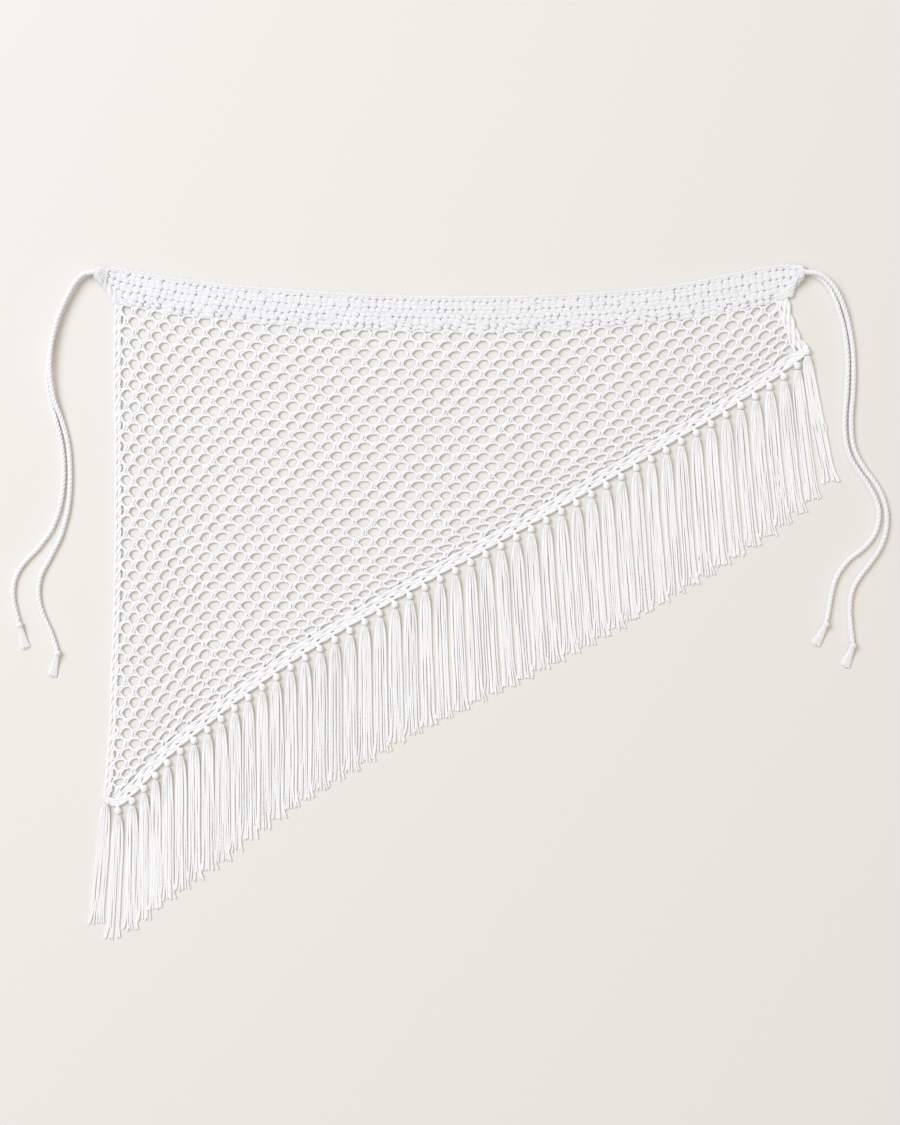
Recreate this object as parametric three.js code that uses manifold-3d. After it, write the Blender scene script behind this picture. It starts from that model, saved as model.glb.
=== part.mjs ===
// A crochet sarong lying flat: a sagging waistband with a pair of tie cords at each end, an open net panel
// with a long slanting hem, edgings round the net, and a row of knotted tassels along the hem.
// Millimetres, +Z up. X runs along the waistband and Y from hem to waist. The cloth rests on z = 0, and the
// origin lies under the middle of the box of the cloth and its fringe.
import * as THREE from "three";
import { mergeVertices } from "three/addons/utils/BufferGeometryUtils.js";
import Module from "manifold-3d";

const wasm = await Module();
wasm.setup();

// ---- Driving dimensions ----
const SEAM = 0.3; // gap left between pieces that are worked or sewn together
const GRID_STEP = 42; // longest step between two sections of an edging
const NET_THICKNESS = 3;
const LEFT_EDGING_WIDTH = 8;
const FRINGE_STRIP_WIDTH = 3;
const FRINGE_STRIP_THICKNESS = 3.4;

// The waistband's sections, from the left tip to the right one: where its top edge and its foot lie, and how
// far the flat band has turned into the round knot that wraps the roots of the ties.
const BAND_SECTIONS = [
  { topX: -457, topY: 415.8, footX: -456.6, footY: 406.2, wrap: 1 },
  { topX: -451, topY: 416.4, footX: -452.4, footY: 401, wrap: 0.92 },
  { topX: -440, topY: 416.8, footX: -445, footY: 391.5, wrap: 0.42 },
  { topX: -428, topY: 416.6, footX: -438.8, footY: 381, wrap: 0.1 },
  { topX: -415, topY: 415, footX: -434, footY: 374.2, wrap: 0 },
  { topX: -398, topY: 412, footX: -412, footY: 369, wrap: 0 },
  { topX: -362, topY: 405.8, footX: -366, footY: 361, wrap: 0 },
  { topX: -300, topY: 397.6, footX: -300, footY: 352.8, wrap: 0 },
  { topX: -200, topY: 389.2, footX: -200, footY: 344.2, wrap: 0 },
  { topX: -100, topY: 383.8, footX: -100, footY: 339.6, wrap: 0 },
  { topX: 0, topY: 381.6, footX: 0, footY: 337.4, wrap: 0 },
  { topX: 100, topY: 383.4, footX: 100, footY: 339.2, wrap: 0 },
  { topX: 200, topY: 389.2, footX: 200, footY: 344.8, wrap: 0 },
  { topX: 273, topY: 397.4, footX: 272, footY: 352.4, wrap: 0 },
  { topX: 316, topY: 406, footX: 313, footY: 358.4, wrap: 0 },
  { topX: 358, topY: 414.6, footX: 352, footY: 364.6, wrap: 0 },
  { topX: 388, topY: 420, footX: 380, footY: 371.6, wrap: 0 },
  { topX: 404, topY: 421.4, footX: 398, footY: 377.2, wrap: 0.06 },
  { topX: 415, topY: 420.6, footX: 409.4, footY: 380.8, wrap: 0.3 },
  { topX: 423, topY: 418.8, footX: 417.6, footY: 394, wrap: 0.86 },
  { topX: 427, topY: 418, footX: 425.4, footY: 404.6, wrap: 1 },
];
const BAND_STEPS = 2; // sections between two rows of the table

// The crochet rows across the waistband, from its top edge down: the share of the width that each row takes
// and how high it stands. The grooves between them are worked thinner.
const BAND_ROWS = [
  { row: "rolled edge", share: 0.11, crest: 4.8 },
  { row: "first row", share: 0.225, crest: 4.2 },
  { row: "second row", share: 0.225, crest: 4.2 },
  { row: "third row", share: 0.225, crest: 4.2 },
  { row: "full last row", share: 0.215, crest: 5 },
];
const BAND_GROOVE = 3;
const WRAP_HEIGHT = 13.8; // of the wrapped knot at either tip
const WRAP_FALL = 0.5; // the share of its height that the knot loses towards its borders

// The left edging's outer edge, from the waistband down to the corner.
const LEFT_EDGE = [
  { x: -433.2, y: 373 },
  { x: -434, y: 300 },
  { x: -433.2, y: 180 },
  { x: -433, y: 90 },
  { x: -434.6, y: 0 },
  { x: -437.4, y: -85 },
  { x: -440.4, y: -165 },
  { x: -446.4, y: -235 },
];

// The right edging's sections, from the waistband down to the hem.
const RIGHT_EDGE = [
  { outX: 408.6, outY: 380, inX: 395, inY: 376 },
  { outX: 411.2, outY: 362.5, inX: 397, inY: 364 },
  { outX: 415, outY: 350.5, inX: 400.6, inY: 352.5 },
  { outX: 419.6, outY: 338.8, inX: 405, inY: 341 },
  { outX: 425.2, outY: 328, inX: 410, inY: 328 },
  { outX: 429.2, outY: 324.8, inX: 413.4, inY: 316.6 },
];

// The hem's sections, from the left corner to the right one: the outer point, where the tassels hang, and the
// inner point, where the net begins.
const HEM_SECTIONS = [
  { outX: -447.4, outY: -242, inX: -447, inY: -235.4 },
  { outX: -441.5, outY: -249.8, inX: -438.4, inY: -236.6 },
  { outX: -428.5, outY: -255.2, inX: -430.4, inY: -239.8 },
  { outX: -410.4, outY: -242.6, inX: -420.6, inY: -231 },
  { outX: -395, outY: -226.4, inX: -406.4, inY: -215.2 },
  { outX: -368, outY: -196.4, inX: -379.2, inY: -185 },
  { outX: -314.6, outY: -152.6, inX: -324.6, inY: -140.2 },
  { outX: -223, outY: -83.2, inX: -232.2, inY: -70.2 },
  { outX: -73.6, outY: 7.4, inX: -81.6, inY: 21.2 },
  { outX: 74, outY: 88.6, inX: 66.4, inY: 102.6 },
  { outX: 239.4, outY: 184.8, inX: 231.2, inY: 198.6 },
  { outX: 335, outY: 241.6, inX: 326.6, inY: 255.2 },
  { outX: 390, outY: 277.4, inX: 381, inY: 290.6 },
  { outX: 422, outY: 302.4, inX: 411, inY: 314 },
  { outX: 429.4, outY: 312.2, inX: 420.6, inY: 320.4 },
  { outX: 432.6, outY: 320.2, inX: 430, inY: 324 },
];

// The tassels hang in groups, each from a strip of its own.
const TASSELS = 50;
const TASSELS_PER_STRIP = 5;
const FIRST_TASSEL_AT = 5.6; // along the hem from its left corner
const SECOND_TASSEL_AT = 24;
const LAST_TASSEL_BEFORE_END = 2.6;
const KNOT_RADIUS = 4.7;
const KNOT_BELOW_HEM = 3.6;
const KNOT_SIDES = 7;
const KNOT_ROWS = 4;
const FLOOR_CLEARANCE = 0.5;
const LOCKS_PER_TASSEL = 4;
const LOCK_GAP = 0.6;
const LOCK_HEIGHT = 4.4;
const WIDEST_TASSEL = 17.4;

// How the tassels hang along the hem: how far their tips lie below and to the right of their knots.
const TASSEL_HANG = [
  { at: 0, drop: 147, lean: -13 },
  { at: 0.02, drop: 160, lean: -8 },
  { at: 0.05, drop: 161, lean: -1 },
  { at: 0.11, drop: 172, lean: 0 },
  { at: 0.2, drop: 178, lean: 1 },
  { at: 0.33, drop: 176, lean: 0 },
  { at: 0.45, drop: 172, lean: 3 },
  { at: 0.58, drop: 175, lean: 11 },
  { at: 0.72, drop: 179, lean: 12 },
  { at: 0.84, drop: 178, lean: 12 },
  { at: 0.93, drop: 173, lean: 16 },
  { at: 0.985, drop: 166, lean: 19 },
  { at: 1, drop: 162, lean: 32 },
];
// How one lock of a tassel runs from its knot to its tip: the share of the way down, how far it has spread to
// its own place, and its width and height there as shares of the full ones.
const LOCK_RUN = [
  { down: 0, spread: 0.38, width: 0.34, height: 0.5, raise: 2.6 },
  { down: 0.08, spread: 0.46, width: 0.42, height: 0.8, raise: 1 },
  { down: 0.26, spread: 0.95, width: 0.95, height: 1, raise: 0.2 },
  { down: 1, spread: 1, width: 1, height: 0.66, raise: 0 },
];
const UNEVEN_TIPS = [2.4, -1.6, 1.2, -2.8]; // how much longer each lock of a tassel is

// The ties, as points on the route of each cord's middle line, from the waistband's tip to its end knot.
const TIE_DIAMETER = 6.4;
const TIE_SIDES = 8;
const TIE_STEPS = 22;
const LOW = 3.3; // height of a cord's middle line where the cord lies on the surface
const HIGH = 10.1; // and where it lies on the other cord of its pair
const TIES = [
  {
    name: "left_upper",
    knot: { x: -504.2, y: -63.6 },
    brush: { x: -511.6, y: -92 },
    route: [
      [-457.1, 411.4, HIGH], [-463.1, 411.1, HIGH], [-471, 409, HIGH], [-480.5, 400, HIGH], [-489.5, 385, HIGH],
      [-500, 362.5, HIGH], [-507, 341, HIGH], [-511, 321, HIGH], [-513, 301, 9.7], [-513, 284, 9.2],
      [-511, 267.5, 8.4], [-508, 252.5, 7.5], [-503.5, 240, 6.3], [-499, 227.5, 4.3], [-495, 214, 3.4],
      [-491.5, 199.5, LOW], [-489.5, 182.5, LOW], [-488.5, 157.5, LOW], [-489.5, 132.5, LOW],
      [-492.5, 111, LOW], [-496.5, 95.5, LOW], [-501.5, 80, LOW], [-509, 65, LOW], [-516, 51.5, LOW],
      [-522.5, 40, LOW], [-527, 27.5, LOW], [-528.5, 12.5, LOW], [-527, -1, LOW], [-522.5, -16, LOW],
      [-513.5, -36, LOW], [-506.4, -56, LOW],
    ],
  },
  {
    name: "left_lower",
    knot: { x: -551.6, y: -28.4 },
    brush: { x: -545, y: -57 },
    route: [
      [-457.1, 411.4, LOW], [-463.1, 411.1, LOW], [-470.5, 407, LOW], [-479, 398.5, LOW], [-488, 384, LOW],
      [-499, 362, LOW], [-506.5, 341, LOW], [-512.5, 321, LOW], [-516, 301, LOW], [-517.5, 284, LOW],
      [-516.5, 267.5, LOW], [-513.5, 252.5, LOW], [-510, 239, LOW], [-506, 225, LOW], [-502, 210, LOW],
      [-499, 194, LOW], [-497, 175, LOW], [-497, 152.5, LOW], [-499, 132.5, LOW], [-502.5, 115.5, LOW],
      [-507, 102.5, LOW], [-513, 89, LOW], [-521, 77.5, LOW], [-531, 65, LOW], [-541, 55, LOW],
      [-549, 45.5, LOW], [-555, 35.5, LOW], [-559, 24, LOW], [-560, 7.5, LOW], [-557.4, -8, LOW],
      [-554.2, -20.4, LOW],
    ],
  },
  {
    name: "right_inner",
    knot: { x: 455.4, y: -27.6 },
    brush: { x: 442.4, y: -53 },
    route: [
      [426.6, 412, LOW], [432.6, 411.3, LOW], [441.5, 408.5, LOW], [450, 402.5, LOW], [458.5, 393, LOW],
      [466.5, 378, LOW], [472, 362, LOW], [477, 344, LOW], [480, 326, LOW], [482, 306, LOW],
      [482, 284, LOW], [481, 261, LOW], [479, 239, LOW], [478.5, 216, LOW], [481, 195, LOW],
      [487, 177.5, LOW], [497.5, 161, LOW], [507.5, 147, LOW], [515.5, 132.5, LOW], [520.5, 119, LOW],
      [521.5, 107.5, LOW], [519.5, 94.5, LOW], [513, 80, LOW], [500.5, 66, LOW], [485, 54, LOW],
      [473.5, 40, LOW], [466, 25.5, LOW], [462, 9.5, LOW], [459.4, -5, LOW], [457, -19.4, LOW],
    ],
  },
  {
    name: "right_outer",
    knot: { x: 489, y: -54.2 },
    brush: { x: 479.4, y: -80 },
    route: [
      [426.6, 412, HIGH], [432.6, 411.3, HIGH], [443, 410, 9.7], [454, 404.5, 8.8], [464.5, 394, 7.9],
      [473.5, 378, 6.4], [480.5, 360, 4.3], [485, 341, LOW], [488, 324, LOW], [489.5, 306, LOW],
      [490, 284, LOW], [489, 257.5, LOW], [487, 235, LOW], [487, 215, LOW], [489, 197.5, LOW],
      [495.5, 180, LOW], [505.5, 164, LOW], [517, 148.5, LOW], [525.5, 132.5, LOW], [530, 117.5, LOW],
      [531.5, 104, LOW], [529.5, 86, LOW], [522.5, 67, LOW], [509.5, 47.5, LOW], [496.5, 30.5, LOW],
      [488, 14, LOW], [485, -5, LOW], [485.5, -22.5, LOW], [488, -46, LOW],
    ],
  },
];
const END_KNOT_RADIUS = 4.6;
// The rings of an end knot: how far each lies from the cord's end, its radius, and how far it has risen from the
// height of the cord to that of the knot.
const END_KNOT_RINGS = [
  { along: SEAM, radius: TIE_DIAMETER / 2, raise: 0 },
  { along: 2, radius: 4.2, raise: 0.9 },
  { along: 4.6, radius: END_KNOT_RADIUS, raise: 1 },
  { along: 7.4, radius: 4, raise: 0.9 },
  { along: 9.2, radius: 2.4, raise: 0.8 },
];
const BRUSH_LOCKS = 5;
const BRUSH_WIDTH = 12.5;
const BRUSH_LOCK_SIZE = 2;

// ---- Materials ----
const cotton = (name, color) => new THREE.MeshStandardMaterial({ name, color, roughness: 0.9, metalness: 0 });
const crochetCotton = cotton("crochet cotton", 0xf4f4f7);
const fringeYarn = cotton("fringe yarn", 0xf7f6f6);
const tieCord = cotton("braided tie cord", 0xf6f6f8);

// ---- Helpers ----
const at = (x, y, z = 0) => new THREE.Vector3(x, y, z);
const through = (points) => new THREE.CatmullRomCurve3(points, false, "centripetal");
const mix = (a, b, share) => a + (b - a) * share;

// Gives a geometry's faces the winding that points them out.
function facingOut(geometry) {
  const p = geometry.getAttribute("position");
  const index = geometry.index.array;
  const [a, b, c] = [at(0, 0), at(0, 0), at(0, 0)];
  let volume = 0;
  for (let i = 0; i < index.length; i += 3) {
    a.fromBufferAttribute(p, index[i]);
    b.fromBufferAttribute(p, index[i + 1]);
    c.fromBufferAttribute(p, index[i + 2]);
    volume += a.dot(b.cross(c));
  }
  if (volume < 0)
    for (let i = 0; i < index.length; i += 3)
      [index[i + 1], index[i + 2]] = [index[i + 2], index[i + 1]];
  return geometry;
}

function closedGeometry(points, index) {
  const geometry = new THREE.BufferGeometry();
  geometry.setAttribute("position", new THREE.Float32BufferAttribute(points.flatMap((p) => [p.x, p.y, p.z]), 3));
  geometry.setIndex(index);
  return facingOut(geometry);
}

// A closed slab from a grid of { x, y, high } points that lies flat on z = low.
function slab(grid, low = 0) {
  const across = grid[0].length;
  const under = grid.length * across;
  const points = [
    ...grid.flat().map((p) => at(p.x, p.y, p.high)),
    ...grid.flat().map((p) => at(p.x, p.y, low)),
  ];
  const index = [];
  const quad = (a, b, c, d) => index.push(a, b, c, a, c, d);
  const key = (i, j) => i * across + j;
  for (let i = 0; i + 1 < grid.length; i++) {
    for (let j = 0; j + 1 < across; j++) {
      quad(key(i, j), key(i, j + 1), key(i + 1, j + 1), key(i + 1, j));
      quad(under + key(i, j), under + key(i + 1, j), under + key(i + 1, j + 1), under + key(i, j + 1));
    }
    const last = across - 1;
    quad(key(i, 0), key(i + 1, 0), under + key(i + 1, 0), under + key(i, 0));
    quad(key(i + 1, last), key(i, last), under + key(i, last), under + key(i + 1, last));
  }
  const end = grid.length - 1;
  for (let j = 0; j + 1 < across; j++) {
    quad(key(0, j + 1), key(0, j), under + key(0, j), under + key(0, j + 1));
    quad(key(end, j), key(end, j + 1), under + key(end, j + 1), under + key(end, j));
  }
  return closedGeometry(points, index);
}

// A closed body through rings that have the same number of points each.
function loft(rings) {
  const sides = rings[0].length;
  const points = rings.flat();
  const index = [];
  for (let i = 0; i + 1 < rings.length; i++)
    for (let j = 0; j < sides; j++) {
      const next = (j + 1) % sides;
      const [a, b, c, d] = [i * sides + j, i * sides + next, (i + 1) * sides + next, (i + 1) * sides + j];
      index.push(a, b, c, a, c, d);
    }
  const last = (rings.length - 1) * sides;
  for (let j = 1; j + 1 < sides; j++) index.push(0, j + 1, j, last, last + j, last + j + 1);
  return closedGeometry(points, index);
}

function solidOf(geometry) {
  const bare = geometry.clone();
  bare.deleteAttribute("normal");
  bare.deleteAttribute("uv");
  const merged = mergeVertices(bare, 1e-4);
  return new wasm.Manifold(
    new wasm.Mesh({
      numProp: 3,
      vertProperties: merged.getAttribute("position").array,
      triVerts: new Uint32Array(merged.index.array),
    }),
  );
}

// One geometry from pieces that run into each other.
function fused(geometries) {
  const whole = geometries.map(solidOf).reduce((sum, piece) => sum.add(piece));
  const mesh = whole.getMesh();
  const geometry = new THREE.BufferGeometry();
  geometry.setAttribute("position", new THREE.BufferAttribute(mesh.vertProperties, 3));
  geometry.setIndex(new THREE.BufferAttribute(mesh.triVerts, 1));
  return geometry;
}

// The value of a column of a table at a place along it, given by the column "at".
function lookUp(table, place, column) {
  const next = Math.max(1, table.findIndex((row) => row.at >= place));
  const [a, b] = [table[next - 1], table[next]];
  return mix(a[column], b[column], (place - a.at) / (b.at - a.at));
}

// The height of a line of points at x, where the line runs from left to right.
function heightAt(line, x) {
  const next = Math.max(1, line.findIndex((p) => p.x >= x));
  const [a, b] = [line[next - 1], line[next]];
  return mix(a.y, b.y, (x - a.x) / (b.x - a.x));
}

// The stations across a ribbed strip: a groove at each border and a crest in the middle of each row.
function ribStations(rows, groove) {
  const stations = [{ across: 0, high: groove }];
  let start = 0;
  for (const { share, crest } of rows) {
    stations.push({ across: start + share / 2, high: crest }, { across: start + share, high: groove });
    start += share;
  }
  return stations;
}

// Sections between an outer and an inner line of the same number of points, no further apart than a step.
function sectionsBetween(outer, inner, step) {
  const [outerCurve, innerCurve] = [through(outer), through(inner)];
  const sections = [];
  const spans = outer.length - 1;
  for (let i = 0; i < spans; i++) {
    const parts = Math.ceil(outer[i].distanceTo(outer[i + 1]) / step);
    for (let k = 0; k < parts; k++) {
      const t = (i + k / parts) / spans;
      sections.push({ out: outerCurve.getPoint(t), in: innerCurve.getPoint(t) });
    }
  }
  sections.push({ out: outer[spans], in: inner[spans] });
  return sections;
}

// ---- Waistband ----
const bandTop = through(BAND_SECTIONS.map((s) => at(s.topX, s.topY, s.wrap)));
const bandFoot = through(BAND_SECTIONS.map((s) => at(s.footX, s.footY)));
const bandSpans = (BAND_SECTIONS.length - 1) * BAND_STEPS;
const bandLines = Array.from({ length: bandSpans + 1 }, (_, i) => ({
  top: bandTop.getPoint(i / bandSpans),
  foot: bandFoot.getPoint(i / bandSpans),
}));
const footLine = bandLines.map((line) => line.foot);

function waistband() {
  const stations = ribStations(BAND_ROWS, BAND_GROOVE);
  return slab(
    bandLines.map(({ top, foot }) =>
      stations.map(({ across, high }) => ({
        x: mix(top.x, foot.x, across),
        y: mix(top.y, foot.y, across),
        high: mix(high, WRAP_HEIGHT * (1 - WRAP_FALL * (2 * across - 1) ** 2), top.z),
      })),
    ),
  );
}

// ---- Edgings ----
const CHAIN_PROFILE = [
  { across: 0, high: 2.6 },
  { across: 0.25, high: 4 },
  { across: 0.5, high: 3 },
  { across: 0.75, high: 4 },
  { across: 1, high: 2.6 },
];
const leftOuter = LEFT_EDGE.map((p) => at(p.x, p.y));
const leftSections = sectionsBetween(
  leftOuter,
  leftOuter.map((p) => at(p.x + LEFT_EDGING_WIDTH, p.y)),
  GRID_STEP,
);
const hemSections = sectionsBetween(
  HEM_SECTIONS.map((s) => at(s.outX, s.outY)),
  HEM_SECTIONS.map((s) => at(s.inX, s.inY)),
  GRID_STEP,
);
const hemInner = hemSections.map((s) => s.in);
const rightSections = RIGHT_EDGE.map((s) => ({ out: at(s.outX, s.outY), in: at(s.inX, s.inY) }));

// A section's points across an edging, at each station of a profile.
const acrossSection = (section, profile) =>
  profile.map(({ across, high }) => {
    const p = section.out.clone().lerp(section.in, across);
    return { x: p.x, y: p.y, high };
  });

function leftEdging() {
  const grid = leftSections.map((section) => acrossSection(section, CHAIN_PROFILE));
  for (const p of grid[0]) p.y = heightAt(footLine, p.x) - SEAM;
  return slab(grid);
}

function rightEdging() {
  const grid = rightSections.map((section) => acrossSection(section, CHAIN_PROFILE));
  for (const p of grid[0]) p.y = heightAt(footLine, p.x) - SEAM;
  for (const p of grid.at(-1)) p.y = heightAt(hemInner, p.x) + SEAM;
  return slab(grid);
}

// The point of a hem section that lies a distance in from the fringe's line.
function inFromHem(section, distance) {
  const inward = section.in.clone().sub(section.out).normalize();
  return section.out.clone().addScaledVector(inward, distance);
}

function hemEdging() {
  return slab(
    hemSections.map((section) =>
      acrossSection({ out: inFromHem(section, FRINGE_STRIP_WIDTH + SEAM), in: section.in }, CHAIN_PROFILE),
    ),
  );
}

// ---- Net panel ----
// The net fills the space that the waistband and the edgings leave, a seam's gap from each.
function netPanel() {
  const left = leftSections.map((s) => at(s.in.x + SEAM, s.in.y));
  const right = rightSections.map((s) => at(s.in.x - SEAM, s.in.y));
  const [leftTop, leftFoot] = [left[0].x, left.at(-1).x];
  const [rightTop, rightFoot] = [right[0].x, right.at(-1).x];
  const outline = new THREE.Shape();
  const hemAt = (x) => heightAt(hemInner, x) + SEAM * 1.5;
  outline.moveTo(leftFoot, hemAt(leftFoot));
  for (const p of left.slice(1, -1).reverse()) outline.lineTo(p.x, p.y);
  outline.lineTo(leftTop, heightAt(footLine, leftTop) - SEAM);
  for (const p of footLine) if (p.x > leftTop + 1 && p.x < rightTop - 1) outline.lineTo(p.x, p.y - SEAM);
  outline.lineTo(rightTop, heightAt(footLine, rightTop) - SEAM);
  for (const p of right.slice(1, -1)) outline.lineTo(p.x, p.y);
  outline.lineTo(rightFoot, hemAt(rightFoot));
  for (const p of [...hemInner].reverse())
    if (p.x > leftFoot + 1 && p.x < rightFoot - 1) outline.lineTo(p.x, hemAt(p.x));
  return new THREE.ExtrudeGeometry(outline, { depth: NET_THICKNESS, bevelEnabled: false });
}

// ---- Fringe ----
const hemLine = new THREE.CurvePath();
for (let i = 0; i + 1 < hemSections.length; i++)
  hemLine.add(new THREE.LineCurve3(hemSections[i].out, hemSections[i + 1].out));
const hemLength = hemLine.getLength();
const hemPoint = (distance) => hemLine.getPoint(THREE.MathUtils.clamp(distance / hemLength, 0, 1));
const hemStarts = [0];
for (let i = 0; i + 1 < hemSections.length; i++)
  hemStarts.push(hemStarts[i] + hemSections[i].out.distanceTo(hemSections[i + 1].out));

// The inward direction of the hem at a distance along it.
function hemInward(distance) {
  const next = Math.max(1, hemStarts.findIndex((start) => start >= distance - 1e-6));
  const share = (distance - hemStarts[next - 1]) / (hemStarts[next] - hemStarts[next - 1]);
  const [a, b] = [hemSections[next - 1], hemSections[next]];
  const outer = a.out.clone().lerp(b.out, share);
  const inner = a.in.clone().lerp(b.in, share);
  return inner.sub(outer).normalize();
}

const lastTasselAt = hemLength - LAST_TASSEL_BEFORE_END;
const tasselPitch = (lastTasselAt - SECOND_TASSEL_AT) / (TASSELS - 2);
const tassels = Array.from({ length: TASSELS }, (_, i) => {
  const along = i === 0 ? FIRST_TASSEL_AT : SECOND_TASSEL_AT + (i - 1) * tasselPitch;
  const root = hemPoint(along);
  const place = along / hemLength;
  return {
    along,
    knot: at(root.x, root.y - KNOT_BELOW_HEM, KNOT_RADIUS + FLOOR_CLEARANCE / 2),
    drop: lookUp(TASSEL_HANG, place, "drop"),
    lean: lookUp(TASSEL_HANG, place, "lean"),
  };
});

// The room a tassel has between its neighbours, half way down.
function roomFor(i) {
  const middle = (tassel) => tassel.knot.x + tassel.lean / 2;
  const gaps = [i - 1, i + 1]
    .filter((other) => other >= 0 && other < TASSELS)
    .map((other) => Math.abs(middle(tassels[i]) - middle(tassels[other])));
  return Math.min(WIDEST_TASSEL, Math.min(...gaps) - 2 * LOCK_GAP);
}

// One lock: a three-sided body that runs from inside its knot to just above the surface.
function lock(tassel, width, side, extra) {
  const full = (width - (LOCKS_PER_TASSEL - 1) * LOCK_GAP) / LOCKS_PER_TASSEL;
  const reach = side * (width - full) * 0.5;
  const length = tassel.drop + extra;
  return loft(
    LOCK_RUN.map((run) => {
      const x = tassel.knot.x + tassel.lean * run.down ** 1.2 + reach * run.spread;
      const y = tassel.knot.y - length * run.down;
      const half = (full * run.width) / 2;
      const low = FLOOR_CLEARANCE + run.raise;
      return [at(x - half, y, low), at(x + half, y, low), at(x, y, low + LOCK_HEIGHT * run.height)];
    }),
  );
}

function tasselPieces(tassel, i) {
  const knot = new THREE.SphereGeometry(KNOT_RADIUS, KNOT_SIDES, KNOT_ROWS);
  knot.translate(tassel.knot.x, tassel.knot.y, tassel.knot.z);
  const width = roomFor(i);
  const locks = UNEVEN_TIPS.map((extra, k) =>
    lock(tassel, width, (2 * k) / (LOCKS_PER_TASSEL - 1) - 1, extra + ((i * 7) % 5) - 2),
  );
  return [knot, ...locks];
}

// A strip of the fringe: a narrow foundation along the hem with its tassels hanging from it.
function fringeStrip(first) {
  const group = tassels.slice(first, first + TASSELS_PER_STRIP);
  const before = first === 0 ? 0 : (tassels[first - 1].along + group[0].along) / 2 + SEAM / 2;
  const next = tassels[first + TASSELS_PER_STRIP];
  const after = next ? (group.at(-1).along + next.along) / 2 - SEAM / 2 : hemLength;
  // The strip keeps every corner of the hem's line, so that it runs along the hem edging without touching it.
  const stops = [before, ...hemStarts.filter((start) => start > before + 1 && start < after - 1), after];
  const grid = stops.map((stop) => {
    const outer = hemPoint(stop);
    const inner = outer.clone().addScaledVector(hemInward(stop), FRINGE_STRIP_WIDTH);
    return [outer, inner].map((p) => ({ x: p.x, y: p.y, high: FRINGE_STRIP_THICKNESS }));
  });
  return fused([slab(grid), ...group.flatMap((tassel, k) => tasselPieces(tassel, first + k))]);
}

// ---- Ties ----
// A tie's middle line: its route, and on to the near side of its knot.
function tieRoute(tie) {
  const points = tie.route.map(([x, y, z]) => at(x, y, z));
  const knot = at(tie.knot.x, tie.knot.y, LOW);
  const onward = knot.clone().sub(points.at(-1)).normalize();
  return through([...points, knot.addScaledVector(onward, -END_KNOT_RADIUS)]);
}

function tieTube(tie) {
  const section = new THREE.Shape();
  for (let i = 0; i < TIE_SIDES; i++) {
    const angle = ((i + 0.5) / TIE_SIDES) * 2 * Math.PI;
    const [x, y] = [(TIE_DIAMETER / 2) * Math.cos(angle), (TIE_DIAMETER / 2) * Math.sin(angle)];
    if (i) section.lineTo(x, y);
    else section.moveTo(x, y);
  }
  return new THREE.ExtrudeGeometry(section, { steps: TIE_STEPS, extrudePath: tieRoute(tie), bevelEnabled: false });
}

// A tie's end: a round knot whose first face meets the cord's own end, and a short flared brush of cut yarn.
function tieEnd(tie) {
  const route = tieRoute(tie);
  const [start, onward] = [route.getPoint(1), route.getTangent(1)];
  const acrossCord = at(-onward.y, onward.x);
  const z = END_KNOT_RADIUS + FLOOR_CLEARANCE / 2;
  const knot = loft(
    END_KNOT_RINGS.map((ring) => {
      const centre = start.clone().addScaledVector(onward, ring.along).setZ(mix(LOW, z, ring.raise));
      return Array.from({ length: TIE_SIDES }, (_, i) => {
        const angle = ((i + 0.5) / TIE_SIDES) * 2 * Math.PI;
        const point = centre.clone().addScaledVector(acrossCord, ring.radius * Math.cos(angle));
        return point.setZ(centre.z + ring.radius * Math.sin(angle));
      });
    }),
  );
  const from = at(tie.knot.x, tie.knot.y);
  const to = at(tie.brush.x, tie.brush.y);
  const along = to.clone().sub(from).normalize();
  const sideways = at(-along.y, along.x);
  const locks = Array.from({ length: BRUSH_LOCKS }, (_, k) => {
    const side = (2 * k) / (BRUSH_LOCKS - 1) - 1;
    const rings = [
      { share: 0.05, spread: 0.32, size: 0.55, z: z - 0.5 },
      { share: 0.4, spread: 0.6, size: 0.8, z: 2 },
      { share: 1 - 0.08 * side ** 2, spread: 1, size: 1, z: FLOOR_CLEARANCE },
    ];
    return loft(
      rings.map((ring) => {
        const reach = (side * ring.spread * (BRUSH_WIDTH - BRUSH_LOCK_SIZE)) / 2;
        const centre = from.clone().lerp(to, ring.share).addScaledVector(sideways, reach);
        const half = (BRUSH_LOCK_SIZE * ring.size) / 2;
        return [
          centre.clone().addScaledVector(sideways, -half).setZ(ring.z),
          centre.clone().addScaledVector(sideways, half).setZ(ring.z),
          centre.clone().setZ(ring.z + 2 * half),
        ];
      }),
    );
  });
  return fused([knot, ...locks]);
}

// ---- Assembly ----
const sarong = new THREE.Group();
function add(parent, name, geometry, material) {
  const mesh = new THREE.Mesh(geometry, material);
  mesh.name = name;
  parent.add(mesh);
}

const cloth = new THREE.Group();
add(cloth, "waistband", waistband(), crochetCotton);
add(cloth, "net_panel", netPanel(), crochetCotton);
add(cloth, "left_edging", leftEdging(), crochetCotton);
add(cloth, "right_edging", rightEdging(), crochetCotton);
add(cloth, "hem_edging", hemEdging(), crochetCotton);

const fringe = new THREE.Group();
for (let first = 0; first < TASSELS; first += TASSELS_PER_STRIP) {
  const number = String(first / TASSELS_PER_STRIP + 1).padStart(2, "0");
  add(fringe, `fringe_${number}`, fringeStrip(first), fringeYarn);
}

const ties = new THREE.Group();
for (const tie of TIES) {
  add(ties, `tie_${tie.name}`, tieTube(tie), tieCord);
  add(ties, `end_${tie.name}`, tieEnd(tie), tieCord);
}

sarong.add(cloth, fringe, ties);

export default sarong;
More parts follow.
